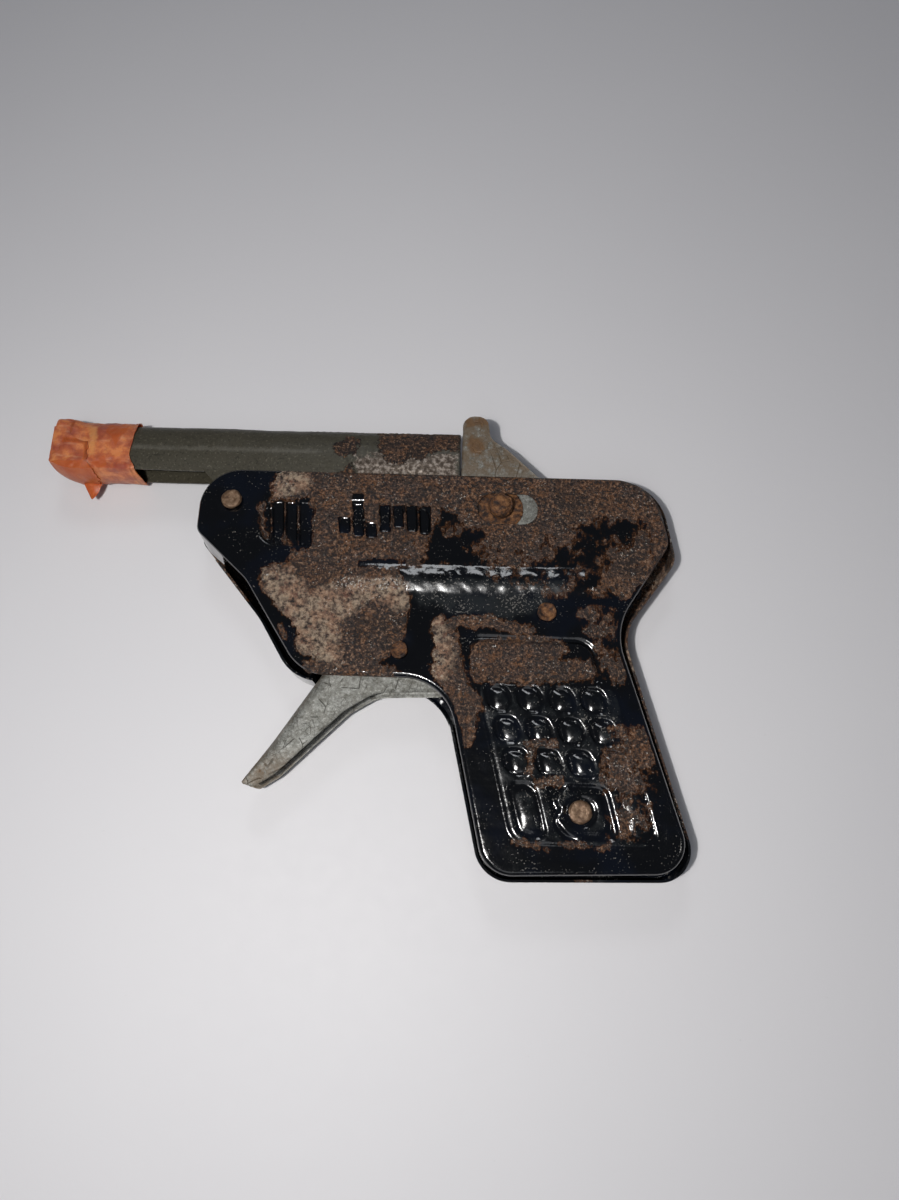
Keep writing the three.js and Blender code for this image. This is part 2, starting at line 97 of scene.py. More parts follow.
LENS = 27.0
CAMERA_PLACE = (-3.7, -67.4, 173.0)
CAMERA_TURN = (16.7, 1.25, 2.26)


def add_camera():
    data = bpy.data.cameras.new("camera")
    data.sensor_fit = "VERTICAL"
    data.sensor_height = 36.0
    data.lens = LENS
    data.clip_start = 0.01
    camera = bpy.data.objects.new("camera", data)
    camera.location = Vector((np.array(CAMERA_PLACE) + ORIGIN) * MM)
    camera.rotation_euler = [math.radians(angle) for angle in CAMERA_TURN]
    bpy.context.scene.collection.objects.link(camera)
    bpy.context.scene.camera = camera


def add_light(name, place, aim, size, power, color=(1, 1, 1)):
    data = bpy.data.lights.new(name, "AREA")
    data.shape = "DISK"
    data.size = size * MM
    data.energy = power
    data.color = color
    light = bpy.data.objects.new(name, data)
    light.location = Vector((np.array(place) + ORIGIN) * MM)
    towards = Vector(np.array(aim, float) - np.array(place, float))
    light.rotation_euler = towards.to_track_quat("-Z", "Y").to_euler()
    bpy.context.scene.collection.objects.link(light)


def add_lights():
    """The phone's flash with its glow, two wide ceiling lights and a small one on the right."""
    add_light("flash", (-58, -90, 240), (-14, -50, 0), 8, 0.37, (1.0, 0.985, 0.965))
    add_light("flash_glow", (-58, -90, 241), (-14, -50, 0), 64, 0.13, (1.0, 0.985, 0.965))
    add_light("overhead", (-60, -420, 520), (0, -40, 0), 330, 0.20, (0.95, 0.97, 1.0))
    add_light("far_side", (-30, 330, 400), (-30, 0, 0), 130, 0.205, (0.94, 0.97, 1.0))
    add_light("right_side", (190, -60, 420), (15, -50, 0), 20, 0.035, (1.0, 0.97, 0.92))
    world = bpy.data.worlds.new("studio")
    world.use_nodes = True
    background = world.node_tree.nodes["Background"]
    background.inputs["Color"].default_value = (0.72, 0.80, 1.0, 1)
    background.inputs["Strength"].default_value = 0.07
    bpy.context.scene.world = world
    bpy.context.scene.view_settings.view_transform = "Standard"


# ---------------------------------------------------------------- material building


class Finish:
    """A node material in the making. Positions are millimetres on the piece."""

    def __init__(self, name, **sockets):
        self.material = bpy.data.materials.new(name)
        self.material.use_nodes = True
        self.nodes = self.material.node_tree.nodes
        self.shader = self.nodes["Principled BSDF"]
        for socket, value in sockets.items():
            self.set(socket, value)
        self.place = self.node("TexCoord", "Object")
        self.place = self.stretched(1 / MM, 1 / MM, 1 / MM)

    def put(self, socket, value):
        """Wires a node's output into a socket, or sets the socket's own constant."""
        if isinstance(value, bpy.types.NodeSocket):
            self.material.node_tree.links.new(value, socket)
        elif socket.type == "RGBA":
            socket.default_value = (*value, 1)
        else:
            socket.default_value = value

    def set(self, socket, value):
        self.put(self.shader.inputs[socket.replace("_", " ")], value)

    def node(self, kind, output, sockets=(), **settings):
        """Adds a node with its settings and sockets, and returns one of its outputs."""
        node = self.nodes.new("ShaderNode" + kind)
        for setting, value in settings.items():
            setattr(node, setting, value)
        for socket, value in dict(sockets).items():
            self.put(node.inputs[socket], value)
        return node.outputs[output]

    def stretched(self, *scales):
        return self.node("VectorMath", 0, {0: self.place, 1: scales}, operation="MULTIPLY")

    def noise(self, size, detail=3.0, roughness=0.55, place=None, distortion=0.0):
        sockets = {"Vector": place or self.place, "Scale": 1 / size, "Detail": detail}
        sockets.update({"Roughness": roughness, "Distortion": distortion})
        return self.node("TexNoise", "Fac", sockets)

    def cells(self, size, feature="F1", place=None):
        sockets = {"Vector": place or self.place, "Scale": 1 / size}
        return self.node("TexVoronoi", "Distance", sockets, feature=feature)

    def field(self, name):
        return self.node("Attribute", "Fac", attribute_name=name)

    def math(self, operation, *values):
        return self.node("Math", 0, enumerate(values), operation=operation)

    def plus(self, first, second):
        return self.math("ADD", first, second)

    def times(self, first, second):
        return self.math("MULTIPLY", first, second)

    def swing(self, reach, *noise):
        """Noise as a number from -reach to reach."""
        return self.math("MULTIPLY_ADD", self.noise(*noise), 2.0 * reach, -reach)

    def ragged(self, field, reach, *noise):
        """A field of the piece, broken up by noise from -reach to reach."""
        return self.plus(self.field(field), self.swing(reach, *noise))

    def step(self, value, low, high):
        """A smooth rise from 0 to 1 as the value goes from low to high."""
        sockets = {"Value": value, "From Min": low, "From Max": high}
        return self.node("MapRange", "Result", sockets, interpolation_type="SMOOTHSTEP")

    def between(self, low, high, *noise):
        """Noise as a number from low to high."""
        sockets = {"Value": self.noise(*noise), "To Min": low, "To Max": high}
        return self.node("MapRange", "Result", sockets)

    def ramp(self, fac, *stops):
        node = self.nodes.new("ShaderNodeValToRGB")
        self.put(node.inputs["Fac"], fac)
        elements = node.color_ramp.elements
        while len(elements) < len(stops):
            elements.new(0.5)
        for element, (position, color) in zip(elements, stops):
            element.position = position
            element.color = (*color, 1)
        return node.outputs["Color"]

    def blend(self, fac, first, second):
        return self.node("Mix", 2, {"Factor": fac, 6: first, 7: second}, data_type="RGBA")

    def blend_value(self, fac, first, second):
        return self.node("Mix", 0, {"Factor": fac, 2: first, 3: second})

    def layered(self, base, *layers):
        """The base under layers of colour, each shown as a value goes from low to high, at some strength."""
        for color, value, low, high, strength in layers:
            base = self.blend(self.times(self.step(value, low, high), strength), base, color)
        return base

    def bump(self, height, depth, normal=None):
        """Raises the surface by depth millimetres where the height is 1."""
        sockets = {"Strength": 1.0, "Distance": depth * MM, "Height": height}
        if normal:
            sockets["Normal"] = normal
        return self.node("Bump", "Normal", sockets)


# ---------------------------------------------------------------- materials

ENAMEL = (0.0016, 0.0018, 0.0022)
ENAMEL_BLUE = (0.0018, 0.0030, 0.0065)
# the grey of a painted reflection on the glossy enamel
ENAMEL_REFLECTION_GREY = (0.016, 0.019, 0.020)
DUST = (0.12, 0.112, 0.10)
RUST_BLACK = (0.009, 0.005, 0.004)
RUST_DARK = (0.026, 0.014, 0.009)
RUST_BROWN = (0.068, 0.031, 0.015)
RUST_PURPLE = (0.068, 0.038, 0.027)
RUST_RED = (0.12, 0.045, 0.028)
RUST_ORANGE = (0.165, 0.064, 0.018)
RUST_PALE = (0.245, 0.145, 0.088)
BARE_TAN = (0.260, 0.155, 0.098)
BARE_GREY = (0.270, 0.205, 0.145)
BARE_PALE = (0.44, 0.32, 0.22)
# pale steel for the painted glints on the rust
STEEL_GLINT = (0.62, 0.58, 0.52)


def rust_color(finish):
    """Grains of brown, purple and orange rust, with dark pits between them and pale crumbs on them."""
    hue = finish.noise(4.5, 4, 0.6)
    drift = finish.noise(7.0, 4, 0.6)
    clumps = finish.noise(1.9, 4, 0.65)
    grain = finish.noise(0.66, 3, 0.66)
    grit = finish.noise(0.36, 2, 0.6)
    body = finish.layered(
        finish.blend(finish.step(hue, 0.42, 0.60), RUST_PURPLE, RUST_BROWN),
        (RUST_ORANGE, drift, 0.50, 0.60, 0.5),
        (RUST_DARK, drift, 0.48, 0.38, 0.75),
        (RUST_ORANGE, clumps, 0.53, 0.62, 0.55),
        (RUST_DARK, clumps, 0.49, 0.38, 0.8),
        (RUST_BLACK, grain, 0.50, 0.42, 1.0),
        (RUST_BLACK, grit, 0.46, 0.38, 0.8),
    )
    crumbs = finish.times(finish.step(grain, 0.49, 0.58), finish.step(grit, 0.52, 0.60))
    return finish.blend(crumbs, body, RUST_PALE)


def bared_color(finish):
    """Tan bare metal with purple stains, pale grains, red spots and black pits."""
    mottle = finish.noise(0.85, 4, 0.70)
    return finish.layered(
        finish.blend(finish.step(finish.noise(3.0, 4, 0.6), 0.42, 0.58), BARE_TAN, BARE_GREY),
        (RUST_PURPLE, mottle, 0.53, 0.45, 0.8),
        (BARE_PALE, mottle, 0.55, 0.63, 0.65),
        (RUST_RED, finish.noise(1.9, 5, 0.7), 0.55, 0.63, 0.7),
        (RUST_BLACK, mottle, 0.43, 0.37, 1.0),
    )


def enamel_color(finish, hazy_and_reflecting, dusty):
    """Black enamel with a blue tinge in places, greyed by a painted reflection where the haze field lies, and
    speckled with dust.
    """
    color = finish.blend(finish.step(finish.noise(11.0, 3), 0.45, 0.65), ENAMEL, ENAMEL_BLUE)
    # painted reflection: grey is blended into the enamel where the haze field lies
    color = finish.blend(finish.times(hazy_and_reflecting, finish.between(0.2, 1.0, 0.8, 4, 0.7)), color, ENAMEL_REFLECTION_GREY)
    return finish.blend(finish.times(dusty, 0.85), color, DUST)


def rusting_enamel():
    """Glossy black enamel, rusted or worn bare where the fields on the piece say so."""
    finish = Finish("black_enamel_rusting", Coat_Roughness=0.07)
    fibres = finish.swing(0.8, 0.8, 4, 0.6, finish.stretched(1.0, 0.3, 1.0), 0.8)
    finer = finish.plus(finish.swing(0.6, 0.9, 3, 0.6), fibres)
    depth = finish.plus(finish.ragged("rust", 1.9, 2.8, 5, 0.62), finer)
    rusty = finish.step(depth, -0.06, 0.06)
    rim = finish.times(finish.step(depth, -0.40, -0.05), finish.step(depth, 0.1, 0.0))
    worn = finish.step(finish.ragged("bare", 3.4, 2.6, 5, 0.70), -0.9, 0.8)
    # the haze field marks dull, dusty enamel and where a grey reflection is painted on it
    hazy_and_reflecting = finish.step(finish.ragged("haze", 3.4, 2.2, 5, 0.68), -1.2, 1.6)
    spread = finish.plus(finish.swing(0.20, 5.0, 3), finish.times(hazy_and_reflecting, 0.10))
    dusty = finish.step(finish.plus(finish.noise(0.42, 2, 0.6), spread), 0.68, 0.73)
    # painted glints: pale steel flecks on the rust, denser where the haze field lies, standing in for
    # sparkles of light
    spots = finish.plus(finish.noise(0.40, 2, 0.6), finish.times(hazy_and_reflecting, 0.07))
    clusters = finish.plus(finish.step(finish.noise(2.4, 4, 0.6), 0.49, 0.62), hazy_and_reflecting)
    glint_places = finish.times(finish.math("MINIMUM", clusters, 1.0), rusty)
    flecks_and_glints = finish.times(finish.step(spots, 0.645, 0.69), glint_places)

    enamel = finish.blend(finish.times(rim, 0.3), enamel_color(finish, hazy_and_reflecting, dusty), RUST_ORANGE)
    rust = finish.blend(worn, rust_color(finish), bared_color(finish))
    finish.set("Base Color", finish.blend(flecks_and_glints, finish.blend(rusty, enamel, rust), STEEL_GLINT))

    scuffs = finish.between(0.04, 0.18, 1.6, 5, 0.7, finish.stretched(0.25, 1.0, 1.0))
    gloss = finish.plus(scuffs, finish.times(finish.plus(dusty, hazy_and_reflecting), 0.15))
    rough = finish.blend_value(rusty, gloss, finish.between(0.45, 0.8, 0.5, 3))
    finish.set("Roughness", finish.blend_value(flecks_and_glints, rough, 0.2))
    finish.set("Metallic", finish.times(flecks_and_glints, 0.3))
    lacquer = finish.times(finish.step(finish.noise(1.0, 4, 0.7), 0.50, 0.60), 0.55)
    finish.set("Coat Weight", finish.blend_value(rusty, 0.5, finish.plus(lacquer, finish.times(hazy_and_reflecting, 0.45))))

    peel = finish.plus(finish.noise(1.9, 3), finish.times(finish.noise(0.5, 2), 0.25))
    crust = finish.plus(finish.noise(1.0, 4, 0.62), finish.times(finish.noise(0.40, 3, 0.6), 0.5))
    relief = finish.blend_value(rusty, 0.60, finish.times(crust, 0.75))
    crusted = finish.bump(relief, 0.95, finish.bump(peel, 0.05))
    finish.set("Coat Normal", crusted)
    finish.set("Normal", crusted)
    return finish.material


OLIVE_DARK = (0.038, 0.034, 0.022)
OLIVE_LIGHT = (0.056, 0.050, 0.034)
OLIVE_GRAIN = (0.15, 0.135, 0.10)
OLIVE_PIT = (0.016, 0.014, 0.009)
OLIVE_HIGHLIGHT = (0.12, 0.112, 0.092)
SILVER_STOPS = ((0.38, (0.060, 0.042, 0.032)), (0.5, (0.155, 0.120, 0.095)), (0.62, (0.42, 0.36, 0.31)))


def olive_paint():
    """Satin olive paint, rusting and rubbed to bare steel where the fields on the piece say so."""
    finish = Finish("olive_paint_worn")
    depth = finish.plus(finish.ragged("rust", 2.2, 2.2, 6, 0.68), finish.swing(1.7, 0.6, 5, 0.72))
    rusty = finish.step(depth, -0.10, 0.10)
    bare = finish.step(finish.ragged("bare", 4.0, 1.1, 6, 0.75), 0.2, 1.0)
    olive = finish.layered(
        finish.blend(finish.noise(9.0, 3), OLIVE_DARK, OLIVE_LIGHT),
        (OLIVE_GRAIN, finish.noise(0.50, 2, 0.6), 0.58, 0.68, 0.45),
        (OLIVE_PIT, finish.noise(0.55, 2, 0.6), 0.44, 0.34, 0.6),
        # painted highlight: a pale line along the side of the barrel that faces up
        (OLIVE_HIGHLIGHT, finish.ragged("streak", 0.9, 0.9, 4, 0.7), 0.1, 1.0, 0.6),
    )
    silver = finish.ramp(finish.noise(0.85, 3, 0.65), *SILVER_STOPS)
    color = finish.blend(finish.times(bare, 0.85), olive, silver)
    finish.set("Base Color", finish.blend(rusty, color, rust_color(finish)))
    finish.set("Metallic", finish.times(finish.times(bare, 0.5), finish.math("SUBTRACT", 1.0, rusty)))
    finish.set("Roughness", finish.blend_value(rusty, finish.between(0.34, 0.50, 1.1, 4), 0.75))
    crust = finish.plus(finish.noise(0.75, 5, 0.7), finish.times(finish.noise(0.3, 3), 0.5))
    skin = finish.bump(finish.noise(0.30, 3, 0.6), 0.03)
    finish.set("Normal", finish.bump(finish.times(crust, rusty), 0.38, skin))
    return finish.material


ZINC_STOPS = ((0.34, (0.125, 0.125, 0.108)), (0.5, (0.205, 0.208, 0.190)), (0.66, (0.315, 0.320, 0.300)))
ZINC_PIT = (0.075, 0.072, 0.058)
ZINC_BRIGHT = (0.44, 0.44, 0.41)
ZINC_CRACK = (0.045, 0.042, 0.034)
ZINC_GRIME = (0.130, 0.084, 0.044)
STAIN_DARK = (0.06, 0.026, 0.012)
STAIN_LIGHT = (0.21, 0.115, 0.045)


def crazed_zinc():
    """Dull zinc plate with a fine net of dark cracks, dirty and stained where the piece's fields say so."""
    finish = Finish("crazed_zinc", Metallic=0.25)
    wide_net = finish.cells(3.2, "DISTANCE_TO_EDGE", finish.stretched(1.0, 0.6, 1.0))
    fine_net = finish.cells(1.3, "DISTANCE_TO_EDGE")
    cracked = finish.step(finish.noise(3.0, 4, 0.6), 0.48, 0.56)
    crack = finish.times(finish.step(wide_net, 0.028, 0.0), cracked)
    hair = finish.times(finish.step(fine_net, 0.045, 0.0), finish.step(finish.noise(4.0, 3), 0.50, 0.58))
    lines = finish.math("MAXIMUM", crack, finish.times(hair, 0.55))
    mottle = finish.noise(0.5, 5, 0.75)
    zinc = finish.layered(
        finish.ramp(finish.noise(2.2, 6, 0.7), *ZINC_STOPS),
        (ZINC_PIT, mottle, 0.5, 0.38, 0.7),
        (ZINC_BRIGHT, mottle, 0.54, 0.66, 0.7),
    )
    zinc = finish.blend(finish.times(lines, 0.8), zinc, ZINC_CRACK)
    grime = finish.times(finish.field("grime"), finish.step(finish.noise(1.6, 5, 0.7), 0.30, 0.55))
    zinc = finish.blend(finish.times(grime, 0.8), zinc, ZINC_GRIME)
    stain = finish.blend(finish.noise(0.7, 5, 0.7), STAIN_DARK, STAIN_LIGHT)
    stained = finish.ragged("rust", 2.6, 1.4, 6, 0.72)
    finish.set("Base Color", finish.layered(zinc, (stain, stained, -0.6, 0.7, 0.9)))
    finish.set("Roughness", finish.between(0.40, 0.62, 1.2, 4))
    relief = finish.plus(finish.times(lines, -1.0), finish.times(finish.noise(0.6, 5, 0.65), 1.2))
    finish.set("Normal", finish.bump(relief, 0.07))
    return finish.material


TARNISH_STOPS = ((0.3, (0.07, 0.036, 0.02)), (0.5, (0.165, 0.098, 0.056)), (0.7, (0.29, 0.20, 0.13)))
SCALE_STOPS = ((0.38, (0.016, 0.007, 0.004)), (0.5, (0.095, 0.036, 0.011)), (0.62, (0.21, 0.095, 0.034)))
WIRE_STOPS = ((0.35, (0.09, 0.06, 0.04)), (0.55, (0.24, 0.23, 0.21)))
TARNISH_PIT = (0.05, 0.03, 0.018)
SCALE_PALE = (0.33, 0.2, 0.1)


def tarnished_steel():
    """Copper-brown tarnish with pale rubbed spots."""
    finish = Finish("tarnished_steel", Metallic=0.45)
    color = finish.ramp(finish.noise(0.9, 5, 0.65), *TARNISH_STOPS)
    finish.set("Base Color", finish.layered(color, (TARNISH_PIT, finish.noise(0.3, 3), 0.4, 0.28, 0.6)))
    finish.set("Roughness", finish.between(0.38, 0.62, 0.6, 3))
    finish.set("Normal", finish.bump(finish.noise(0.5, 4, 0.6), 0.09))
    return finish.material


def orange_rust():
    """Scaly orange-brown rust."""
    finish = Finish("orange_rust")
    color = finish.ramp(finish.noise(1.1, 5, 0.65), *SCALE_STOPS)
    finish.set("Base Color", finish.layered(color, (SCALE_PALE, finish.noise(0.35, 3), 0.62, 0.75, 0.6)))
    finish.set("Roughness", finish.between(0.6, 0.9, 0.5, 3))
    scales = finish.plus(finish.noise(0.8, 5, 0.65), finish.times(finish.cells(0.7), 0.5))
    finish.set("Normal", finish.bump(scales, 0.22))
    return finish.material


def spring_steel():
    finish = Finish("spring_steel", Metallic=0.85)
    finish.set("Base Color", finish.ramp(finish.noise(1.5, 4), *WIRE_STOPS))
    finish.set("Roughness", finish.between(0.3, 0.55, 0.7, 3))
    finish.set("Normal", finish.bump(finish.noise(0.3, 3), 0.02))
    return finish.material


TAPE_STOPS = ((0.38, (0.33, 0.072, 0.037)), (0.5, (0.47, 0.122, 0.047)), (0.62, (0.65, 0.225, 0.077)))
TAPE_YELLOW = (0.66, 0.30, 0.10)
TAPE_FADED = (0.62, 0.30, 0.17)
TAPE_DOUBLE = (0.44, 0.085, 0.014)
TAPE_CREASE_SHADE = (0.30, 0.062, 0.012)
TAPE_DIRT = (0.30, 0.10, 0.05)
TAPE_SCATTER = (0.0012, 0.0005, 0.0002)


def orange_tape():
    """Thin orange tape, deeper in colour where it lies double and along its underside, with painted shade
    along its creases.
    """
    finish = Finish("orange_tape_creased", Subsurface_Weight=0.25, Subsurface_Radius=TAPE_SCATTER)
    finish.set("Subsurface Scale", 1.0)
    streaks = finish.noise(1.2, 4, 0.6, finish.stretched(0.35, 1.2, 1.0))
    color = finish.layered(
        finish.ramp(finish.noise(3.4, 4, 0.6), *TAPE_STOPS),
        (TAPE_YELLOW, finish.ragged("pale", 0.8, 1.0, 3), -0.4, 0.6, 0.7),
        (TAPE_FADED, streaks, 0.52, 0.72, 0.45),
        (TAPE_DOUBLE, finish.ragged("double", 0.35, 1.1, 3), -0.15, 0.2, 0.75),
        # painted shade along the tape's folds, its rear hem and the edge of the second layer
        (TAPE_CREASE_SHADE, finish.ragged("crease", 0.25, 0.9, 3), -0.1, 0.25, 0.9),
        (TAPE_DIRT, finish.noise(0.6, 4, 0.7), 0.60, 0.72, 0.35),
    )
    finish.set("Base Color", color)
    finish.set("Roughness", finish.between(0.34, 0.52, 1.0, 3))
    wrinkles = finish.noise(1.5, 3, 0.5, finish.stretched(1.0, 0.35, 0.5), 0.6)
    finish.set("Normal", finish.bump(finish.plus(wrinkles, finish.times(finish.noise(0.35, 3), 0.2)), 0.16))
    return finish.material


FLOOR_COLORS = ((0.69, 0.68, 0.70), (0.72, 0.71, 0.725))
FLOOR_SPECK = (0.4, 0.38, 0.36)


def pale_floor():
    finish = Finish("pale_floor")
    color = finish.blend(finish.noise(60.0, 3), *FLOOR_COLORS)
    finish.set("Base Color", finish.layered(color, (FLOOR_SPECK, finish.noise(0.9, 2), 0.76, 0.80, 0.25)))
    finish.set("Roughness", finish.between(0.5, 0.62, 3.0, 3))
    finish.set("Normal", finish.bump(finish.noise(2.2, 3), 0.03))
    return finish.material


# ---------------------------------------------------------------- plan geometry

NOWHERE = -9.0  # a field's value far from every patch


def unit(vector):
    return vector / np.linalg.norm(vector)


def rounded(corners, spacing=0.45):
    """A closed loop through corners given as x, y and fillet radius, with a point about every spacing."""
    corners = np.array(corners, float)
    points = []
    for index, (x, y, radius) in enumerate(corners):
        here = np.array((x, y))
        back = unit(corners[index - 1, :2] - here)
        ahead = unit(corners[(index + 1) % len(corners), :2] - here)
        half = math.acos(np.clip(back @ ahead, -1, 1)) / 2
        centre = here + unit(back + ahead) * radius / math.sin(half)
        start = here + back * radius / math.tan(half) - centre
        end = here + ahead * radius / math.tan(half) - centre
        sweep = math.atan2(start[0] * end[1] - start[1] * end[0], start @ end)
        steps = max(3, math.ceil(abs(sweep) * radius / spacing))
        angles = math.atan2(start[1], start[0]) + sweep * np.arange(steps + 1) / steps
        points.extend(centre + radius * np.column_stack((np.cos(angles), np.sin(angles))))
    return subdivided(np.array(points), spacing)


def subdivided(loop, spacing):
    points = []
    for start, end in zip(loop, np.roll(loop, -1, axis=0)):
        length = np.linalg.norm(end - start)
        if length < 1e-6:
            continue
        steps = max(1, round(length / spacing))
        points.extend(start + (end - start) * step / steps for step in range(steps))
    return np.array(points)


def offset(loop, distance):
    """A counter-clockwise loop grown outwards by a distance."""
    edges = np.roll(loop, -1, axis=0) - loop
    normals = np.column_stack((edges[:, 1], -edges[:, 0]))
    normals /= np.linalg.norm(normals, axis=1)[:, None]
    before = np.roll(normals, 1, axis=0)
    mitre = before + normals
    mitre /= np.linalg.norm(mitre, axis=1)[:, None]
    return loop + mitre * (distance / np.sum(mitre * before, axis=1))[:, None]


def ring(centre, radius, count):
    angles = 2 * math.pi * np.arange(count) / count
    return np.asarray(centre) + radius * np.column_stack((np.cos(angles), np.sin(angles)))


def inside(points, loop):
    """How far each point is inside a closed loop; negative outside it."""
    loop = np.asarray(loop, float)
    within = np.zeros(len(points), bool)
    for start, end in zip(loop, np.roll(loop, -1, axis=0)):
        if start[1] != end[1]:
            straddles = (start[1] > points[:, 1]) != (end[1] > points[:, 1])
            crossing = start[0] + (points[:, 1] - start[1]) * (end[0] - start[0]) / (end[1] - start[1])
            within ^= straddles & (points[:, 0] < crossing)
    nearest = along(points, [*loop, loop[0]])
    return np.where(within, nearest, -nearest)


def inside_any(points, patches):
    """How far each point is inside the patch that holds it deepest."""
    return np.maximum.reduce([np.full(len(points), NOWHERE), *(inside(points, patch) for patch in patches)])


def rounded_box(left, bottom, right, top, radius, spacing, right_radius=None):
    """A closed loop round an upright rectangle, whose right corners may have their own radius."""
    far = right_radius or radius
    corners = [(left, top, radius), (left, bottom, radius), (right, bottom, far), (right, top, far)]
    return rounded(corners, spacing)


def along(points, route):
    """How far each point is from an open chain of points."""
    route = np.asarray(route, float)
    nearest = np.full(len(points), np.inf)
    for start, end in zip(route[:-1], route[1:]):
        edge = end - start
        relative = points - start
        share = np.clip(relative @ edge / (edge @ edge), 0, 1)
        nearest = np.minimum(nearest, np.hypot(*(relative - share[:, None] * edge).T))
    return nearest


def leaning_box(points, centre, size, radius, lean=0.0):
    """How far each point is inside a rounded box whose sides lean by an angle in degrees."""
    down = points[:, 1] - centre[1]
    side = points[:, 0] - centre[0] + down * math.tan(math.radians(lean))
    across = np.abs(side) - size[0] / 2 + radius
    up = np.abs(down) - size[1] / 2 + radius
    outside = np.hypot(np.maximum(across, 0), np.maximum(up, 0))
    return radius - outside - np.minimum(np.maximum(across, up), 0)


def pillow(points, centre, size, lean=0.0):
    """1 in the middle of a leaning rectangle, falling smoothly to 0 at its sides."""
    down = points[:, 1] - centre[1]
    side = points[:, 0] - centre[0] + down * math.tan(math.radians(lean))
    across = np.clip(np.abs(side) * 2 / size[0], 0, 1)
    up = np.clip(np.abs(down) * 2 / size[1], 0, 1)
    return (1 - across**2.6) * (1 - up**2.6)


def ease(value, low, high):
    share = np.clip((value - low) / (high - low), 0, 1)
    return share * share * (3 - 2 * share)


def crown(distance, reach):
    """A round profile that is 0 at a boundary and 1 at a distance of reach inside it."""
    share = np.clip(distance / reach, 0, 1)
    return 1 - (1 - share) ** 2


def waves(seed, wavelength, count=16):
    """A smooth random field of about unit size."""
    random = np.random.default_rng(seed)
    angles = random.uniform(0, 2 * math.pi, count)
    rates = 2 * math.pi / (wavelength * random.uniform(0.7, 1.7, count))
    phases = random.uniform(0, 2 * math.pi, count)

    def field(points):
        total = np.zeros(len(points))
        for angle, rate, phase in zip(angles, rates, phases):
            total += np.sin((points[:, 0] * math.cos(angle) + points[:, 1] * math.sin(angle)) * rate + phase)
        return total / math.sqrt(count / 2)

    return field


# ---------------------------------------------------------------- meshes


class Surface:
    """Vertices in plan millimetres and heights, with faces and fields, on their way to a piece."""

    def __init__(self):
        self.points = np.zeros((0, 3))
        self.faces = []
        self.fields = {}

    def add(self, points, faces, **fields):
        start = len(self.points)
        self.points = np.vstack((self.points, points))
        self.faces.extend([start + index for index in face] for face in faces)
        for name in set(self.fields) | set(fields):
            known = self.fields.get(name, np.full(start, NOWHERE))
            fresh = fields.get(name, np.full(len(points), NOWHERE))
            self.fields[name] = np.concatenate((known, fresh))
        return start

    def turned_over(self, middle):
        """The surface mirrored in height about a middle."""
        other = Surface()
        other.points = self.points * (1, 1, -1) + (0, 0, 2 * middle)
        other.faces = [face[::-1] for face in self.faces]
        other.fields = dict(self.fields)
        return other

    def raised(self, height):
        self.points[:, 2] += height
        return self

    def join(self, other):
        self.add(other.points, other.faces, **other.fields)


def mesh_of(name, surface, thickness=0.0, weld=0.0, sharp=38):
    mesh = bpy.data.meshes.new(name)
    mesh.from_pydata((surface.points + ORIGIN) * MM, [], surface.faces)
    for field, values in surface.fields.items():
        mesh.attributes.new(field, "FLOAT", "POINT").data.foreach_set("value", values.astype(np.float32))
    mesh.polygons.foreach_set("use_smooth", [True] * len(mesh.polygons))
    if weld or thickness:
        mesh = with_modifiers(mesh, thickness, weld)
    mesh.set_sharp_from_angle(angle=math.radians(sharp))
    return mesh


def with_modifiers(mesh, thickness, weld):
    holder = bpy.data.objects.new("holder", mesh)
    bpy.context.scene.collection.objects.link(holder)
    if weld:
        welding = holder.modifiers.new("weld", "WELD")
        welding.merge_threshold = weld * MM
    if thickness:
        solid = holder.modifiers.new("thickness", "SOLIDIFY")
        solid.thickness = thickness * MM
        solid.offset = -1
        solid.use_even_offset = True
        solid.thickness_clamp = 1.0
    evaluated = holder.evaluated_get(bpy.context.evaluated_depsgraph_get())
    made = bpy.data.meshes.new_from_object(evaluated)
    made.name = mesh.name
    bpy.data.objects.remove(holder)
    return made


def piece(name, surface, material, body, node, slot, **making):
    """Makes a surface into a piece that replaces a node, and rides a body if one is given."""
    mesh = mesh_of(name, surface, **making)
    item = bpy.data.objects.new(name, mesh)
    mesh.materials.append(material)
    bpy.context.scene.collection.objects.link(item)
    if body:
        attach(item, body)
    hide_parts(node)
    return item


def grid_faces(rows, columns, closed=False):
    """Quads of a grid stored row by row; a closed grid joins each row's end to its start."""
    last = columns if closed else columns - 1
    faces = []
    for row in range(rows - 1):
        for column in range(last):
            beside = (column + 1) % columns
            low, high = row * columns, (row + 1) * columns
            faces.append((low + column, low + beside, high + beside, high + column))
    return faces


def gridded(rows, closed=False, **fields):
    """A surface through rows of points that all have one length."""
    surface = Surface()
    surface.add(np.vstack(rows), grid_faces(len(rows), len(rows[0]), closed), **fields)
    return surface


def turned(centre, profile, count=72, waver=0.0, seed=1):
    """A profile of radius and height turned about a vertical axis, closed where it meets the axis."""
    rows = []
    field = waves(seed, 1.4)
    for radius, height in profile:
        flat = ring(centre, radius, count)
        shift = waver * field(flat + height * 3.1)
        out = ring(centre, radius + shift[:, None], count) if radius > 0 else flat
        rows.append(np.column_stack((out, height + 0.4 * shift)))
    return gridded(rows, closed=True)


def smooth_profile(profile):
    """A profile with its corners cut twice, keeping both ends."""
    points = np.array(profile, float)
    for _ in range(2):
        cut = [points[0]]
        for start, end in zip(points[:-1], points[1:]):
            cut.extend((start * 0.75 + end * 0.25, start * 0.25 + end * 0.75))
        cut.append(points[-1])
        points = np.array(cut)
    return points


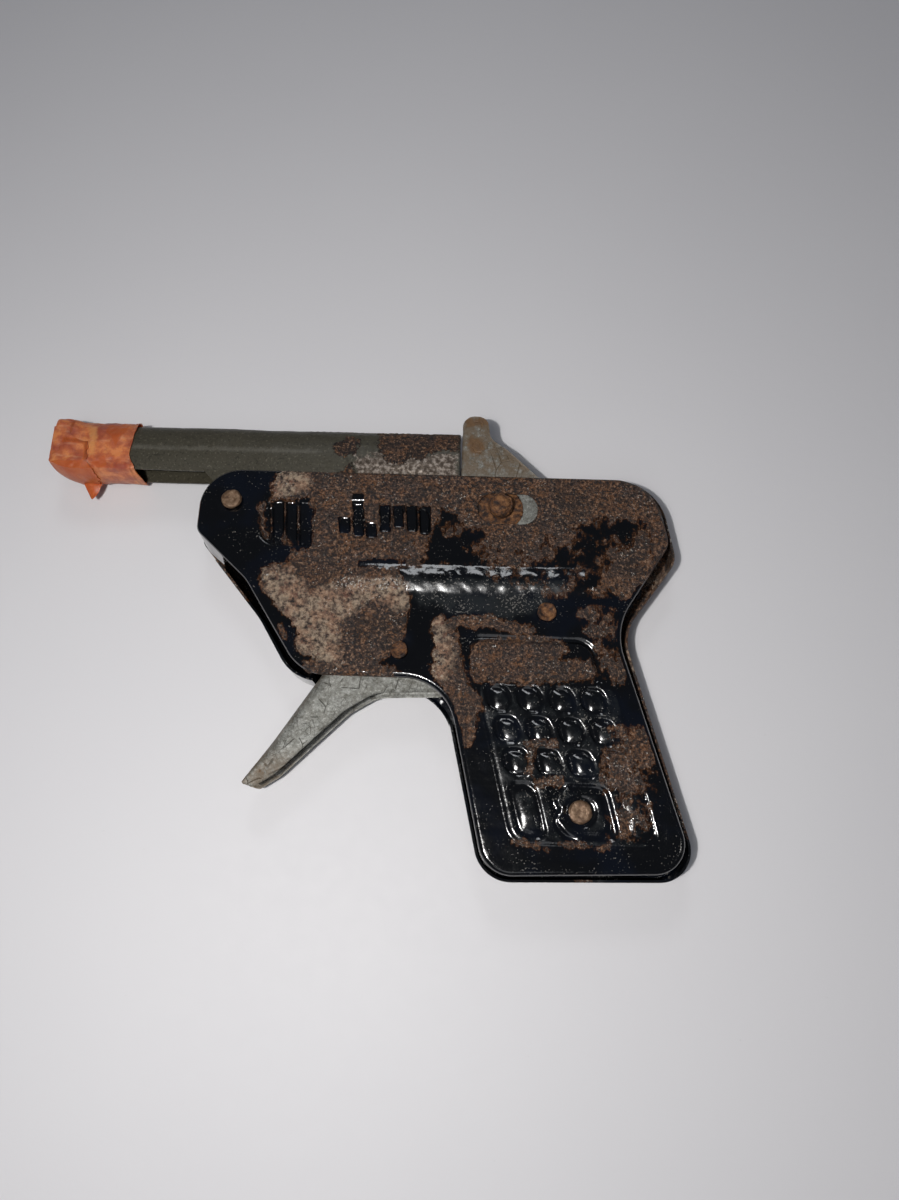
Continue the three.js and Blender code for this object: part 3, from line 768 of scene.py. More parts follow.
def wire(points, radius, count=10):
    """Round wire along a smooth chain of points, closed at both ends."""
    points = np.asarray(points, float)
    tangents = np.gradient(points, axis=0)
    tangents /= np.linalg.norm(tangents, axis=1)[:, None]
    side = unit(np.cross(tangents[0], (0.3, 0.2, 0.9)))
    rings = []
    for point, tangent in zip(points, tangents):
        side = unit(side - tangent * (side @ tangent))
        other = np.cross(tangent, side)
        angles = 2 * math.pi * np.arange(count) / count
        rings.append(point + radius * (np.outer(np.cos(angles), side) + np.outer(np.sin(angles), other)))
    surface = gridded(rings, closed=True)
    last = (len(points) - 1) * count
    surface.faces.append(list(range(count))[::-1])
    surface.faces.append([last + index for index in range(count)])
    return surface


def smooth_chain(points, per_span=6):
    """A Catmull-Rom chain through points."""
    points = np.asarray(points, float)
    padded = np.vstack((2 * points[0] - points[1], points, 2 * points[-1] - points[-2]))
    chain = []
    for before, start, end, after in zip(padded, padded[1:], padded[2:], padded[3:]):
        for step in range(per_span):
            share = step / per_span
            slope = (end - before) * share
            curve = (2 * before - 5 * start + 4 * end - after) * share**2
            twist = (3 * start - before - 3 * end + after) * share**3
            chain.append(0.5 * (2 * start + slope + curve + twist))
    chain.append(points[-1])
    return np.array(chain)


# ---------------------------------------------------------------- bent sheet

BEND_STEPS = 6
EDGE_INSET = 0.2
FLANGE_SPACING = 0.8


def grid_points(outline, holes, spacing, fine_areas, fine_spacing):
    """Staggered points inside an outline, closer together inside the fine areas."""
    low, high = outline.min(axis=0), outline.max(axis=0)
    coarse = staggered(low, high, spacing)
    keep = np.ones(len(coarse), bool)
    fine = []
    for area in fine_areas:
        keep &= inside(coarse, area) < 0
        points = staggered(area.min(axis=0), area.max(axis=0), fine_spacing)
        fine.append(points[inside(points, area) > 0])
    points = np.vstack([coarse[keep], *fine])
    points = points[inside(points, outline) > 0.45 * spacing]
    for hole in holes:
        points = points[inside(points, hole) < -0.45 * fine_spacing]
    return points


def staggered(low, high, spacing):
    rows = np.arange(low[1], high[1], spacing * 0.87)
    columns = np.arange(low[0], high[0], spacing)
    x, y = np.meshgrid(columns, rows)
    x[1::2] += spacing / 2
    return np.column_stack((x.ravel(), y.ravel()))


def triangulated(outline, holes, points):
    """Fills an outline round its holes: the points, the faces, and which points are the outline's."""
    loops = [outline, *holes]
    coordinates = np.vstack([*loops, points])
    edges = []
    start = 0
    for loop in loops:
        indices = start + np.arange(len(loop))
        edges.extend(zip(indices.tolist(), np.roll(indices, -1).tolist()))
        start += len(loop)
    made = delaunay_2d_cdt([Vector(point) for point in coordinates], edges, [], 1, 1e-7)
    flat = np.array([tuple(point) for point in made[0]])
    faces = np.array(made[2])
    middles = flat[faces].mean(axis=1)
    keep = np.ones(len(faces), bool)
    for hole in holes:
        keep &= inside(middles, hole) < 0
    kept = faces[keep]
    corners = flat[kept]
    edge_a, edge_b = corners[:, 1] - corners[:, 0], corners[:, 2] - corners[:, 0]
    upside_down = edge_a[:, 0] * edge_b[:, 1] - edge_a[:, 1] * edge_b[:, 0] < 0
    kept[upside_down] = kept[upside_down][:, ::-1]
    places = {}
    for index, originals in enumerate(made[3]):
        for original in originals:
            places[original] = index
    return flat, kept.tolist(), [places[index] for index in range(len(outline))]


def hung(fields, points, drop):
    """The values of each field at plan points that hang a drop below the face."""
    return {name: make(points, drop) for name, make in fields.items()}


def bent_sheet(outline, holes, height, bend, depth, flange_where, fields, spacing, fine=(), fine_spacing=0.25,
               flare=None):
    """A face whose rim is bent down by a radius at each outline point and runs on into a flange.

    The face lies at height 0 apart from its pressings. fields maps a name to a function of plan points and
    how far they hang below the face. flare gives how far the flange leans out at its free edge.
    """
    bend = np.broadcast_to(bend, len(outline))
    edge = offset(outline, -np.maximum(bend, EDGE_INSET))
    points = grid_points(edge, holes, spacing, fine, fine_spacing)
    flat, faces, rim = triangulated(edge, holes, points)
    lift = height(flat)
    surface = Surface()
    surface.add(np.column_stack((flat, lift)), faces, **hung(fields, flat, 0 * lift))
    count = len(outline)
    rows = [np.array(rim)]
    for step in range(1, BEND_STEPS + 1):
        share = step / BEND_STEPS
        angle = math.pi / 2 * share
        reach = np.where(bend > 0, math.sin(angle), share)
        drop = bend * (1 - math.cos(angle))
        loop = edge + (outline - edge) * reach[:, None]
        row = np.column_stack((loop, lift[rim] * (1 - share) - drop))
        rows.append(surface.add(row, [], **hung(fields, loop, drop)) + np.arange(count))
    hanging = flange_where(outline)
    lean = flare(outline) if flare else np.zeros(count)
    lines = max(2, math.ceil((depth - bend.min()) / FLANGE_SPACING))
    for line in range(1, lines + 1):
        share = line / lines
        drop = bend + (depth - bend) * share
        row = np.column_stack((offset(outline, lean * share), -drop))
        rows.append(surface.add(row, [], **hung(fields, outline, drop)) + np.arange(count))
    for index, (above, below) in enumerate(zip(rows[:-1], rows[1:])):
        for column in range(count):
            beside = (column + 1) % count
            if index < BEND_STEPS or (hanging[column] and hanging[beside]):
                surface.faces.append([below[column], below[beside], above[beside], above[column]])
    return tidy(surface)


def tidy(surface):
    """The surface without the points that no face uses."""
    used = np.zeros(len(surface.points), bool)
    used[np.concatenate([np.asarray(face) for face in surface.faces])] = True
    fresh = np.cumsum(used) - 1
    clean = Surface()
    clean.points = surface.points[used]
    clean.faces = [[int(fresh[index]) for index in face] for face in surface.faces]
    clean.fields = {name: values[used] for name, values in surface.fields.items()}
    return clean


# ---------------------------------------------------------------- pressings of the shells

SHEET = 0.45
BEND = 0.9
LEFT_FLANGE = 6.7
RIGHT_FLANGE = 7.0
PRESSING = 0.6
LEFT_OUTLINE = [
    (-58.9, 6.7, 8),
    (-58.9, -6.3, 2.5),
    (-48.3, -15.9, 8),
    (-36.2, -34.0, 9),
    (-9.2, -34.0, 10),
    (-1.3, -68.4, 6),
    (35.3, -66.7, 5.5),
    (21.8, -23.4, 12),
    (32.4, -6.5, 4),
    (29.6, 6.7, 9.5),
]
RIGHT_OUTLINE = [
    (-60.1, 7.9, 8.8),
    (-60.1, -5.8, 3),
    (-45.3, -23.1, 14),
    (-38.0, -34.7, 9),
    (-9.95, -34.7, 10.7),
    (-1.8, -69.4, 6.5),
    (36.9, -68.0, 5.8),
    (23.7, -23.6, 9),
    (34.2, -8.9, 4.5),
    (30.9, 7.9, 10.5),
]
RIGHT_FACE = node_box("right_shell")[0][2] + PRESSING
LEFT_FACE = node_box("left_shell")[1][2] - PRESSING

GRIP_LEAN = 14
RIB_LEAN = 5
RIB_PITCH = 2.6
RIB_WIDTH = 0.7
RIB_RECESS = 0.7
RIB_SHARE = 0.95  # of the recess that a rib stands up
GROOVE_WIDTH = 2.7
WINDOW_TOP = 0.6
WINDOW_BOTTOM = -9.2
WINDOW_MIDDLE = (WINDOW_TOP + WINDOW_BOTTOM) / 2
RIB_LENGTH = WINDOW_TOP - WINDOW_BOTTOM - 1.0
FRONT_WINDOW = (-46.8, -36.0, 4.0, 0.8)
REAR_WINDOW = (-31.3, -13.3, 0.8, 4.0)
BARED_GROOVES = [(-2.7, -6.3), (2.2, -6.9), (-3.6, -7.1), (0.2, -5.8), (0.2, -4.8), (0.2, -5.6), (0.0, -6.0)]
CELL_ROWS = 3
CELL_COLUMNS = 4
CELL_SIZE = (5.0, 5.0)
TALL_CELL = (5.3, 9.9)


def window_loop(left, right, left_radius, right_radius):
    return rounded_box(left, WINDOW_BOTTOM, right, WINDOW_TOP, left_radius, 0.8, right_radius)


def groove_centres(window):
    """The x of each groove between the ribs of a window, from the front."""
    left, right = window[:2]
    return np.arange(left + RIB_PITCH / 2, right - 0.3 * RIB_PITCH, RIB_PITCH)


def bared_grooves(points):
    """How far each point is inside the stretches of the rear window's grooves that are not crusted over."""
    bared = np.full(len(points), NOWHERE)
    for x, (top, bottom) in zip(groove_centres(REAR_WINDOW), BARED_GROOVES):
        centre = (x, (top + bottom) / 2)
        bared = np.maximum(bared, leaning_box(points, centre, (GROOVE_WIDTH, top - bottom), 0.5, RIB_LEAN))
    return bared


def ribbed_window(points, window):
    """The recess of one window, with its upright ribs standing in it."""
    depth = inside(points, window_loop(*window))
    ribs = np.zeros(len(points))
    for x in groove_centres(window)[1:] - RIB_PITCH / 2:
        rib = leaning_box(points, (x, WINDOW_MIDDLE), (RIB_WIDTH, RIB_LENGTH), 0.4, RIB_LEAN)
        ribs = np.maximum(ribs, ease(rib, -0.25, 0.3))
    return -RIB_RECESS * ease(depth, -0.1, 0.7) * (1 - RIB_SHARE * ribs)


def rib_tops(points, window):
    """How near each point is to the middle line of a rib: 0 on it, falling away to the sides."""
    depth = inside(points, window_loop(*window))
    near = np.full(len(points), NOWHERE)
    lean = math.tan(math.radians(RIB_LEAN))
    for x in groove_centres(window)[1:] - RIB_PITCH / 2:
        near = np.maximum(near, -np.abs(points[:, 0] - x + (points[:, 1] - WINDOW_MIDDLE) * lean))
    return np.where(depth > 0.3, near, NOWHERE)


FRONT_TALL = np.array((5.9, -57.0))
REAR_TALL = np.array((25.0, -57.0))
BOSS = GRIP_RIVET + (0.4, 0.0)
BOSS_CURL = [(-2.6, 4.0), (-4.3, 2.0), (-3.5, 0.4), (-4.2, -1.2), (-2.7, -3.3), (-0.6, -4.3)]
PANEL = ((12.4, -48.4), (25.6, 29.0), 3.0)
PAD = ((6.8, -30.2), (22.5, 7.4), 2.6)
BEAD = [(-32, -12.4, 2.6), (-32, -17.9, 2.6), (19.5, -17.5, 2.6), (19.5, -12.0, 2.6)]
PANEL_HEIGHT = 0.34
CELL_DEPTH = 0.56
CELL_DOME = 0.52
TALL_DEPTH = 0.50
TALL_DOME = 0.60
BOSS_DEPTH = 0.45
BOSS_HEIGHT = 0.34
RIVET_SEAT = 0.25
PAD_HEIGHT = 0.58
PAD_GROOVE = 0.35
BEAD_HEIGHT = 0.53
BEAD_SHOULDER = 2.3
DIMPLE = 0.16


def cells():
    return [(row, column) for row in range(CELL_ROWS) for column in range(CELL_COLUMNS)]


def in_grip(points, centre, size, radius):
    return leaning_box(points, centre, size, radius, GRIP_LEAN)


def near_centre(points, centre, radius):
    return radius - np.hypot(*(points - centre).T)


def grip_panel(points):
    """A net of raised lines with a domed cell in each mesh, tall cells below them and a pad above."""
    height = PANEL_HEIGHT * crown(in_grip(points, *PANEL), 1.1)
    for row, column in cells():
        centre = np.array((0.4 + 5.75 * column + 1.75 * row, -37.3 - 5.7 * row))
        height -= CELL_DEPTH * ease(in_grip(points, centre, CELL_SIZE, 2.1), -0.3, 0.55)
        height += (CELL_DOME + 0.05 * row) * pillow(points, centre + (0.55, -0.35), (4.3, 4.5), GRIP_LEAN)
    for centre in (FRONT_TALL, REAR_TALL):
        height -= TALL_DEPTH * ease(in_grip(points, centre, TALL_CELL, 2.0), -0.35, 0.85)
        height += TALL_DOME * pillow(points, centre, (4.7, 9.3), GRIP_LEAN)
    height -= BOSS_DEPTH * ease(in_grip(points, BOSS, (11.2, 9.9), 2.2), -0.35, 0.85)
    height += BOSS_HEIGHT * ease(in_grip(points, BOSS, (9.0, 8.4), 2.4), 0.0, 1.3)
    height -= RIVET_SEAT * ease(near_centre(points, GRIP_RIVET, 3.3), 0.0, 0.9)
    curl = smooth_chain([BOSS + step for step in BOSS_CURL])
    height += BOSS_HEIGHT * ease(0.75 - along(points, curl), 0.0, 0.7)
    pad = in_grip(points, *PAD)
    height -= PAD_GROOVE * ease(pad, -1.3, -0.35) * ease(-pad, -0.4, 0.5) * ease(points[:, 1], -36.5, -33.0)
    return height + PAD_HEIGHT * ease(pad, -0.2, 1.0)


def side_pressings(points):
    """The buckled bead along the side, the two ribbed windows and the dimples round three rivets."""
    bead = inside(points, rounded(BEAD, 1.0))
    buckled = 0.05 * waves(52, 3.2)(points) + 0.022 * waves(53, 1.6)(points)
    height = (BEAD_HEIGHT + buckled) * (1 - (1 - np.clip(bead / BEAD_SHOULDER, 0, 1)) ** 1.5)
    height += ribbed_window(points, FRONT_WINDOW)
    height += ribbed_window(points, REAR_WINDOW) * (0.35 + 0.65 * ease(bared_grooves(points), -0.5, 0.4))
    for centre in (BARREL_PIVOT, TRIGGER_PIVOT, ANCHOR):
        height -= DIMPLE * ease(near_centre(points, centre, 3.4), 0.0, 1.6)
    return height


def pressed_height(outline, seed):
    broad = waves(seed, 26)
    small = waves(seed + 1, 7.5)
    border = outline[::3]

    def height(points):
        rim = ease(inside(points, border), 0.0, 2.5)
        beaten = 0.045 * broad(points) + 0.016 * small(points)
        return np.minimum(side_pressings(points) + grip_panel(points) + rim * beaten, PRESSING - 0.02)

    return height


# ---------------------------------------------------------------- where the shells are rusty or bare

RUST_PATCHES = {
    "upper": [
        (-44.5, 8.5), (-44.3, 4.5), (-45.2, 2.5), (-44.6, -0.4), (-42.0, 0.7), (-37.5, 0.7), (-36.4, -1.0),
        (-35.5, -9.7), (-40.0, -10.2), (-39.5, -12.6), (-45.0, -13.8), (-45.8, -16.0), (-40.0, -23.0),
        (-37.5, -26.5), (-37.0, -29.7), (-34.0, -31.2), (-30.4, -31.8), (-27.0, -33.2), (-23.0, -32.4),
        (-20.3, -30.4), (-17.5, -26.4), (-16.6, -23.0), (-17.0, -21.2), (-16.3, -18.8), (-17.8, -15.8),
        (-19.0, -13.4), (-27.0, -12.8), (-26.5, -11.4), (-13.6, -11.2), (-13.9, -6.0), (-12.2, -3.5),
        (-11.8, -0.4), (-9.5, -1.2), (-7.0, -3.6), (-1.5, -5.2), (-2.5, -7.6), (-4.2, -10.0), (-0.6, -11.2),
        (3.2, -12.9), (9.0, -8.4), (13.7, -6.9), (15.3, -3.0), (19.3, -1.5), (27.4, -1.5), (27.6, -5.1),
        (22.0, -8.3), (19.3, -11.2), (17.4, -16.4), (24.0, -17.6), (26.0, -16.5), (30.5, -10.5), (34.5, -5.0),
        (34.5, 8.5),
    ],
    "tongue": [
        (-12.8, -23.1), (-10.6, -22.2), (-9.1, -24.4), (-7.3, -25.2), (-6.8, -27.0), (-6.5, -31.0),
        (-4.9, -35.5), (-2.7, -37.3), (-2.1, -39.4), (-3.5, -40.0), (-3.6, -43.2), (-4.3, -46.2),
        (-5.2, -46.6), (-6.3, -43.5), (-8.5, -38.0), (-10.0, -35.3), (-11.9, -33.0), (-11.2, -28.0),
    ],
    "pad": [
        (-4.9, -29.6), (-4.2, -27.8), (-2.5, -26.6), (6.7, -25.3), (11.5, -26.6), (12.9, -28.3),
        (11.2, -29.7), (16.9, -29.9), (17.9, -32.3), (17.2, -33.6), (8.2, -34.3), (-3.3, -34.5),
        (-4.5, -33.1),
    ],
    "grip_rear_top": [
        (17.7, -25.7), (20.0, -28.1), (22.7, -28.3), (23.6, -32.8), (22.6, -34.5), (20.5, -33.5),
        (19.3, -29.8),
    ],
    "grip_rear": [
        (22.1, -41.9), (25.8, -42.1), (27.1, -41.1), (29.0, -44.6), (29.4, -47.3), (27.9, -48.7),
        (25.6, -49.0), (25.6, -50.6), (24.5, -54.8), (22.9, -55.0), (20.0, -52.1), (19.1, -48.6),
        (20.1, -46.3), (22.4, -45.6),
    ],
    "grip_spot": [(21.6, -57.7), (23.2, -56.6), (25.3, -58.3), (24.1, -60.8), (22.6, -60.6)],
}
RUST_STROKES = [
    (1.0, [(-9.0, -24.1), (-6.8, -23.1), (-1.6, -22.9), (1.2, -23.8), (6.0, -24.6)]),
    (1.1, [(15.4, -20.6), (20.0, -21.4)]),
    (0.9, [(16.4, -24.2), (20.2, -24.4)]),
    (1.2, [(9.1, -20.8), (9.2, -20.8)]),
    (0.5, [(5.6, -45.6), (10.6, -45.0)]),
    (0.5, [(6.3, -46.4), (6.2, -49.6)]),
    (0.5, [(7.4, -52.2), (11.6, -52.0)]),
    (0.35, [(3.4, -62.6), (9.0, -63.4)]),
    (0.3, [(11.6, -62.6), (20.0, -63.0)]),
    (0.5, [(-41.2, -25.6), (-39.6, -27.6)]),
    (0.3, [(-41.6, -8.0), (-40.4, -8.8)]),
    (0.7, [(-9.9, -5.6), (-9.0, -4.6)]),
    (1.9, [(-35.0, -33.2), (-26.0, -34.0), (-19.5, -33.9)]),
    (0.35, [(-46.5, -1.0), (-46.3, -4.5), (-45.3, -6.8)]),
]
BARE_PATCHES = [
    [
        (-45.5, -14.2), (-40.0, -13.8), (-36.0, -18.0), (-26.0, -15.6), (-18.3, -15.0), (-16.6, -18.8),
        (-16.8, -20.6), (-20.6, -20.8), (-22.6, -18.4), (-27.0, -21.0), (-29.5, -25.0), (-29.3, -31.8),
        (-34.0, -31.4), (-37.2, -29.7), (-37.8, -26.3), (-40.4, -23.0), (-43.4, -19.1),
    ],
    [(-44.8, 7.0), (-38.0, 6.4), (-37.4, 3.0), (-40.0, 2.0), (-42.5, 0.6), (-45.0, -0.2), (-45.4, 2.5)],
    [(-12.8, -23.0), (-10.6, -22.2), (-8.5, -26.0), (-8.2, -33.0), (-10.0, -34.4), (-12.2, -32.0)],
]
MIXED_AREAS = [
    [
        (4, -2), (30, 0), (31, -10), (22, -18.5), (10, -20), (-2, -17), (-6, -12), (-12, -6), (-14, 1),
        (-8, -3),
    ],
    [(-33, 1.5), (-12, 1.5), (-12, -11), (-33, -11)],
    [(-18, -9.5), (22, -9.5), (20, -14.5), (-26, -14.5)],
    [(16, -18), (26, -18), (24, -36), (17, -34)],
    [(17, -40), (31, -40), (30, -63), (18, -63)],
]
MIXING = 0.72
# where a grey reflection is painted on the enamel: along the bead's lower flank and below the bead
BEAD_FLANK = [(-30, -16.4), (12, -16.0)]
BELOW_BEAD = [(-16, -17.3), (8, -17.0), (10, -19.5), (2, -22.5), (-6, -21.5), (-15, -20)]


def rust_of_left(points, drop):
    """Rust in its patches and strokes, broken up in the mixed areas and kept off the bared grooves."""
    field = inside_any(points, RUST_PATCHES.values())
    for radius, route in RUST_STROKES:
        field = np.maximum(field, radius - along(points, route))
    loosened = np.clip(field, -1.6, 1.8) * (1 - MIXING)
    field = field + (loosened - field) * ease(inside_any(points, MIXED_AREAS), 0.0, 2.0)
    field = np.minimum(field, 0.6 - 3.4 * bared_grooves(points))
    ribs = np.maximum(rib_tops(points, FRONT_WINDOW), rib_tops(points, REAR_WINDOW))
    field = np.maximum(field, 0.1 + 3.0 * ribs)
    rear = ease(points[:, 0], 18, 30) * ease(points[:, 1], -22, -8)
    return field - np.where(drop > 0, 1.0 + 0.5 * drop, 0.0) + 1.5 * rear * (drop > 0)


def haze_and_reflection_of_left(points, drop):
    """Where the enamel is dull and dusty and greyed by a painted reflection: below the bead, along its lower
    flank, and on the raised lines of the grip.
    """
    field = np.maximum(inside(points, BELOW_BEAD), 2.0 * (1.2 - along(points, BEAD_FLANK)))
    ridges = ease(grip_panel(points), 0.05, 0.25) * (points[:, 1] < -35)
    return np.maximum(np.clip(field, -3.5, 2.0), 3.6 * ridges - 3.5)


def bare_of_left(points, drop):
    return inside_any(points, BARE_PATCHES)


def rust_of_right(points, drop):
    """Rust over the upper body and the rear of the grip, heaviest along the rim of the flange."""
    drift = waves(31, 18)
    upper = ease(points[:, 1], -26, -6) * 5.5 - 3.2
    rear = ease(points[:, 0] + 0.45 * points[:, 1], 2, 16) * 5.0 - 3.4
    rim = ease(drop, 4.5, 7.0) * 1.2 * ease(points[:, 0], -30, 20)
    return np.maximum(upper, rear) + 1.6 * drift(points) + rim


def bare_of_right(points, drop):
    return 1.8 * waves(47, 14)(points) - 2.6


# random patches of dull enamel with a painted grey reflection
def haze_and_reflection_of_right(points, drop):
    return 1.6 * waves(48, 16)(points) - 1.6


# ---------------------------------------------------------------- the two shells

TRIGGER_OPENING = [(-34, -41.5), (-2, -41.5), (-2, -30), (-34, -30)]
NOSE_OPENING_REAR = -46.7
HAMMER_OPENING_REAR = 10.5


def opening(left, bottom, right):
    """A gap in the flange, open towards the barrel."""
    return [(left, bottom), (right, bottom), (right, 20), (left, 20)]


def flange_outside(*openings):
    def present(points):
        there = np.ones(len(points), bool)
        for gap in openings:
            there &= inside(points, gap) < 0
        return there

    return present


LEFT_FLANGE_KEPT = flange_outside(
    TRIGGER_OPENING, opening(-70, -6.0, NOSE_OPENING_REAR), opening(-11, 0, HAMMER_OPENING_REAR)
)
RIGHT_FLANGE_KEPT = flange_outside(
    TRIGGER_OPENING, opening(-70, -11.3, NOSE_OPENING_REAR), opening(-50, 0, HAMMER_OPENING_REAR)
)


def left_flare(points):
    """The left flange was bent out under the nose and in front of the trigger."""
    nose = ease(-along(points, [(-55.5, -9.0), (-46.0, -18.5)]), -6.0, -0.5)
    heel = ease(-along(points, [(-38.5, -31.0), (-36.0, -33.8)]), -4.5, -0.5)
    return 0.85 * np.maximum(nose, heel) + 0.12 * waves(61, 9)(points) - 0.1


def fine_areas():
    grip = rounded([(-7, -25, 1), (3, -64.5, 1), (31, -64.5, 1), (21, -25, 1)], 2.0)
    windows = [
        rounded_box(left - 1, WINDOW_BOTTOM - 1, right + 1, WINDOW_TOP + 1, 1, 2.0)
        for left, right, *_ in (FRONT_WINDOW, REAR_WINDOW)
    ]
    return [grip, *windows]


def rivet_holes(radius=1.2):
    return [ring(centre, radius, 24) for centre in (BARREL_PIVOT, TRIGGER_PIVOT, ANCHOR, GRIP_RIVET)]


def shell_surface(outline, hole, seed, depth, flange_kept, fields, spacing, fine_spacing, flare=None):
    """One pressed half of the body, with the rivets' holes and one more."""
    outline = rounded(outline)
    height = pressed_height(outline, seed)
    holes = [*rivet_holes(), hole]
    return bent_sheet(
        outline, holes, height, BEND, depth, flange_kept, fields, spacing, fine_areas(), fine_spacing, flare
    )


def left_shell_surface():
    slot = rounded_box(-4.5, -3.45, 7.2, 2.85, 3.1, 0.3)
    fields = {"rust": rust_of_left, "bare": bare_of_left, "haze": haze_and_reflection_of_left}
    surface = shell_surface(
        LEFT_OUTLINE, slot, 5, LEFT_FLANGE, LEFT_FLANGE_KEPT, fields, 0.5, 0.27, left_flare
    )
    return surface.raised(LEFT_FACE)


def right_shell_surface():
    bore = ring((0, 0), 1.5, 24)
    fields = {"rust": rust_of_right, "bare": bare_of_right, "haze": haze_and_reflection_of_right}
    surface = shell_surface(RIGHT_OUTLINE, bore, 12, RIGHT_FLANGE, RIGHT_FLANGE_KEPT, fields, 0.7, 0.36)
    return surface.turned_over(0).raised(RIGHT_FACE)


def add_shells(enamel):
    for node, surface in (("left_shell", left_shell_surface()), ("right_shell", right_shell_surface())):
        piece(node + "_skin", surface, enamel, "frame", node, "black_enamel", thickness=SHEET)


# ---------------------------------------------------------------- barrel

BARREL_LOW, BARREL_HIGH = node_box("barrel")
MUZZLE = BARREL_LOW[0]
BARREL_REAR = BARREL_HIGH[0]
BARREL_TOP = BARREL_HIGH[1]
BARREL_HALF = MIDDLE - BARREL_LOW[2]
BARREL_UNDERSIDE = 6.8
SHOULDER = 9.8
SKIRT_WAIST = 0.2
BARREL_EAR = [(-60.6, 8.0, 0.3), (-57.0, 4.8, 3), (-57.0, -4.6, 4.6), (-47.8, -4.6, 4.6), (-47.8, 8.0, 0.3)]
BARREL_RUST = [
    [
        (-25.4, 19), (-25.0, 13.2), (-23.0, 9.3), (-19.4, 9.0), (-18.1, 11.0), (-15.9, 9.9), (-14.5, 11.5),
        (-12.4, 12.4), (-8, 12.1), (-8, 19),
    ],
    [
        (-34.7, 12.9), (-31.2, 15.6), (-28.3, 14.7), (-28.9, 11.9), (-30.2, 10.3), (-28.6, 6.5),
        (-33.0, 6.5), (-30.8, 9.5),
    ],
]
BARREL_BARE = [(-29.8, 11.4), (-24.0, 11.8), (-14.5, 12.4), (-8, 12.8), (-8, 6), (-28.5, 6)]


def channel_path(top, underside, half, shoulder, waist, fineness=1):
    """The section of an inverted channel as height and distance from the middle, from its far lower edge."""
    sides = np.linspace(underside, shoulder, 12 * fineness)[:-1]
    draw_in = waist * ((shoulder - sides) / (shoulder - underside)) ** 1.5
    angles = np.linspace(0, math.pi / 2, 22 * fineness)
    near = np.vstack((
        np.column_stack((sides, half - draw_in)),
        np.column_stack((shoulder + (top - shoulder) * np.sin(angles), half * np.cos(angles))),
    ))
    far = near * (1, -1)
    return np.vstack((far, near[-2::-1]))


def rust_of_barrel(x, y):
    """Rust in patches by the hammer, and along the crest towards the rear."""
    crest = ease(y, 15.8, 17.6) * ease(x, -48, -38)
    return np.maximum(inside_any(np.column_stack((x, y)), BARREL_RUST) - 0.3, 3.3 * crest - 3.0)


def bare_of_barrel(x, y):
    return inside(np.column_stack((x, y)), BARREL_BARE)


def highlight_of_barrel(x, y):
    """A painted highlight: a pale line along the near side, below the round top, fading towards the rear."""
    return 1 - np.abs(y - 11.7) / 0.9 - ease(x, -38, -30) * 2


def barrel_surface():
    """The inverted channel, sunk a little here and there and crusted towards the rear."""
    path = channel_path(BARREL_TOP, BARREL_UNDERSIDE, BARREL_HALF, SHOULDER, SKIRT_WAIST)
    stations = np.arange(MUZZLE, BARREL_REAR + 0.01, 0.45)
    x, column = np.meshgrid(stations, np.arange(len(path)), indexing="ij")
    x, column = x.ravel(), column.ravel()
    along_path = np.concatenate(([0], np.cumsum(np.hypot(*np.diff(path, axis=0).T))))
    sheet = np.column_stack((x, along_path[column]))
    sunk = 0.05 * (1 + waves(71, 17)(sheet)) + 0.02 * (1 + waves(72, 5)(sheet))
    crumbs = 0.06 * waves(73, 0.9)(sheet) * ease(x, -46, -24)
    y, side = path[column].T
    inwards = np.clip(sunk - crumbs, 0, 0.3)
    centre = np.clip(y, BARREL_UNDERSIDE, SHOULDER)
    reach = np.hypot(y - centre, side)
    y, side = y - (y - centre) * inwards / reach, side * (1 - inwards / reach)
    points = np.column_stack((x, y, MIDDLE + side))
    surface = Surface()
    surface.add(
        points,
        grid_faces(len(stations), len(path)),
        rust=rust_of_barrel(x, y),
        bare=bare_of_barrel(x, y),
        # the painted highlight is kept off the side that faces the floor
        streak=highlight_of_barrel(x, y) - np.where(side < 0, 3.0, 0.0),
    )
    return surface


def level(points):
    return np.zeros(len(points))


def no_flange(points):
    return np.zeros(len(points), bool)


def hardly_rusty(points, drop):
    return np.full(len(points), -2.5)


def barrel_ear():
    """One of the two ears that hang from the barrel's sides to its pivot."""
    holes = [ring(BARREL_PIVOT, 2.0, 40)]
    ear = bent_sheet(rounded(BARREL_EAR), holes, level, 0.0, 0.0, no_flange, {"rust": hardly_rusty}, 0.9)
    return ear.raised(MIDDLE + BARREL_HALF - SKIRT_WAIST - 0.06)


def add_barrel(olive, zinc):
    surface = barrel_surface()
    ear = barrel_ear()
    surface.join(ear)
    surface.join(ear.turned_over(MIDDLE))
    piece("barrel_shell", surface, olive, "barrel", "barrel", "olive_paint", thickness=SHEET)
    piece("breech_cap", breech_surface(), zinc, "barrel", "breech_plate", "zinc_plate", thickness=SHEET)


def breech_surface():
    """The small plate that closes the barrel's rear end, slightly dished."""
    low, high = node_box("breech_plate")
    half = (high[2] - low[2]) / 2
    heights = np.linspace(low[1], high[1] - 0.02, 26)
    across = np.linspace(-1, 1, 17)
    y, share = np.meshgrid(heights, across, indexing="ij")
    y, share = y.ravel(), share.ravel()
    round_share = np.clip((y - SHOULDER) / (high[1] - SHOULDER), 0, 1)
    side = share * half * np.sqrt(1 - round_share**2)
    dish = 0.12 * (1 - share**2) * (1 - round_share**2)
    surface = Surface()
    points = np.column_stack((high[0] - 0.03 - dish, y, MIDDLE + side))
    surface.add(points, grid_faces(len(heights), len(across)), rust=np.full(len(points), -1.0))
    return surface


# ---------------------------------------------------------------- muzzle tape

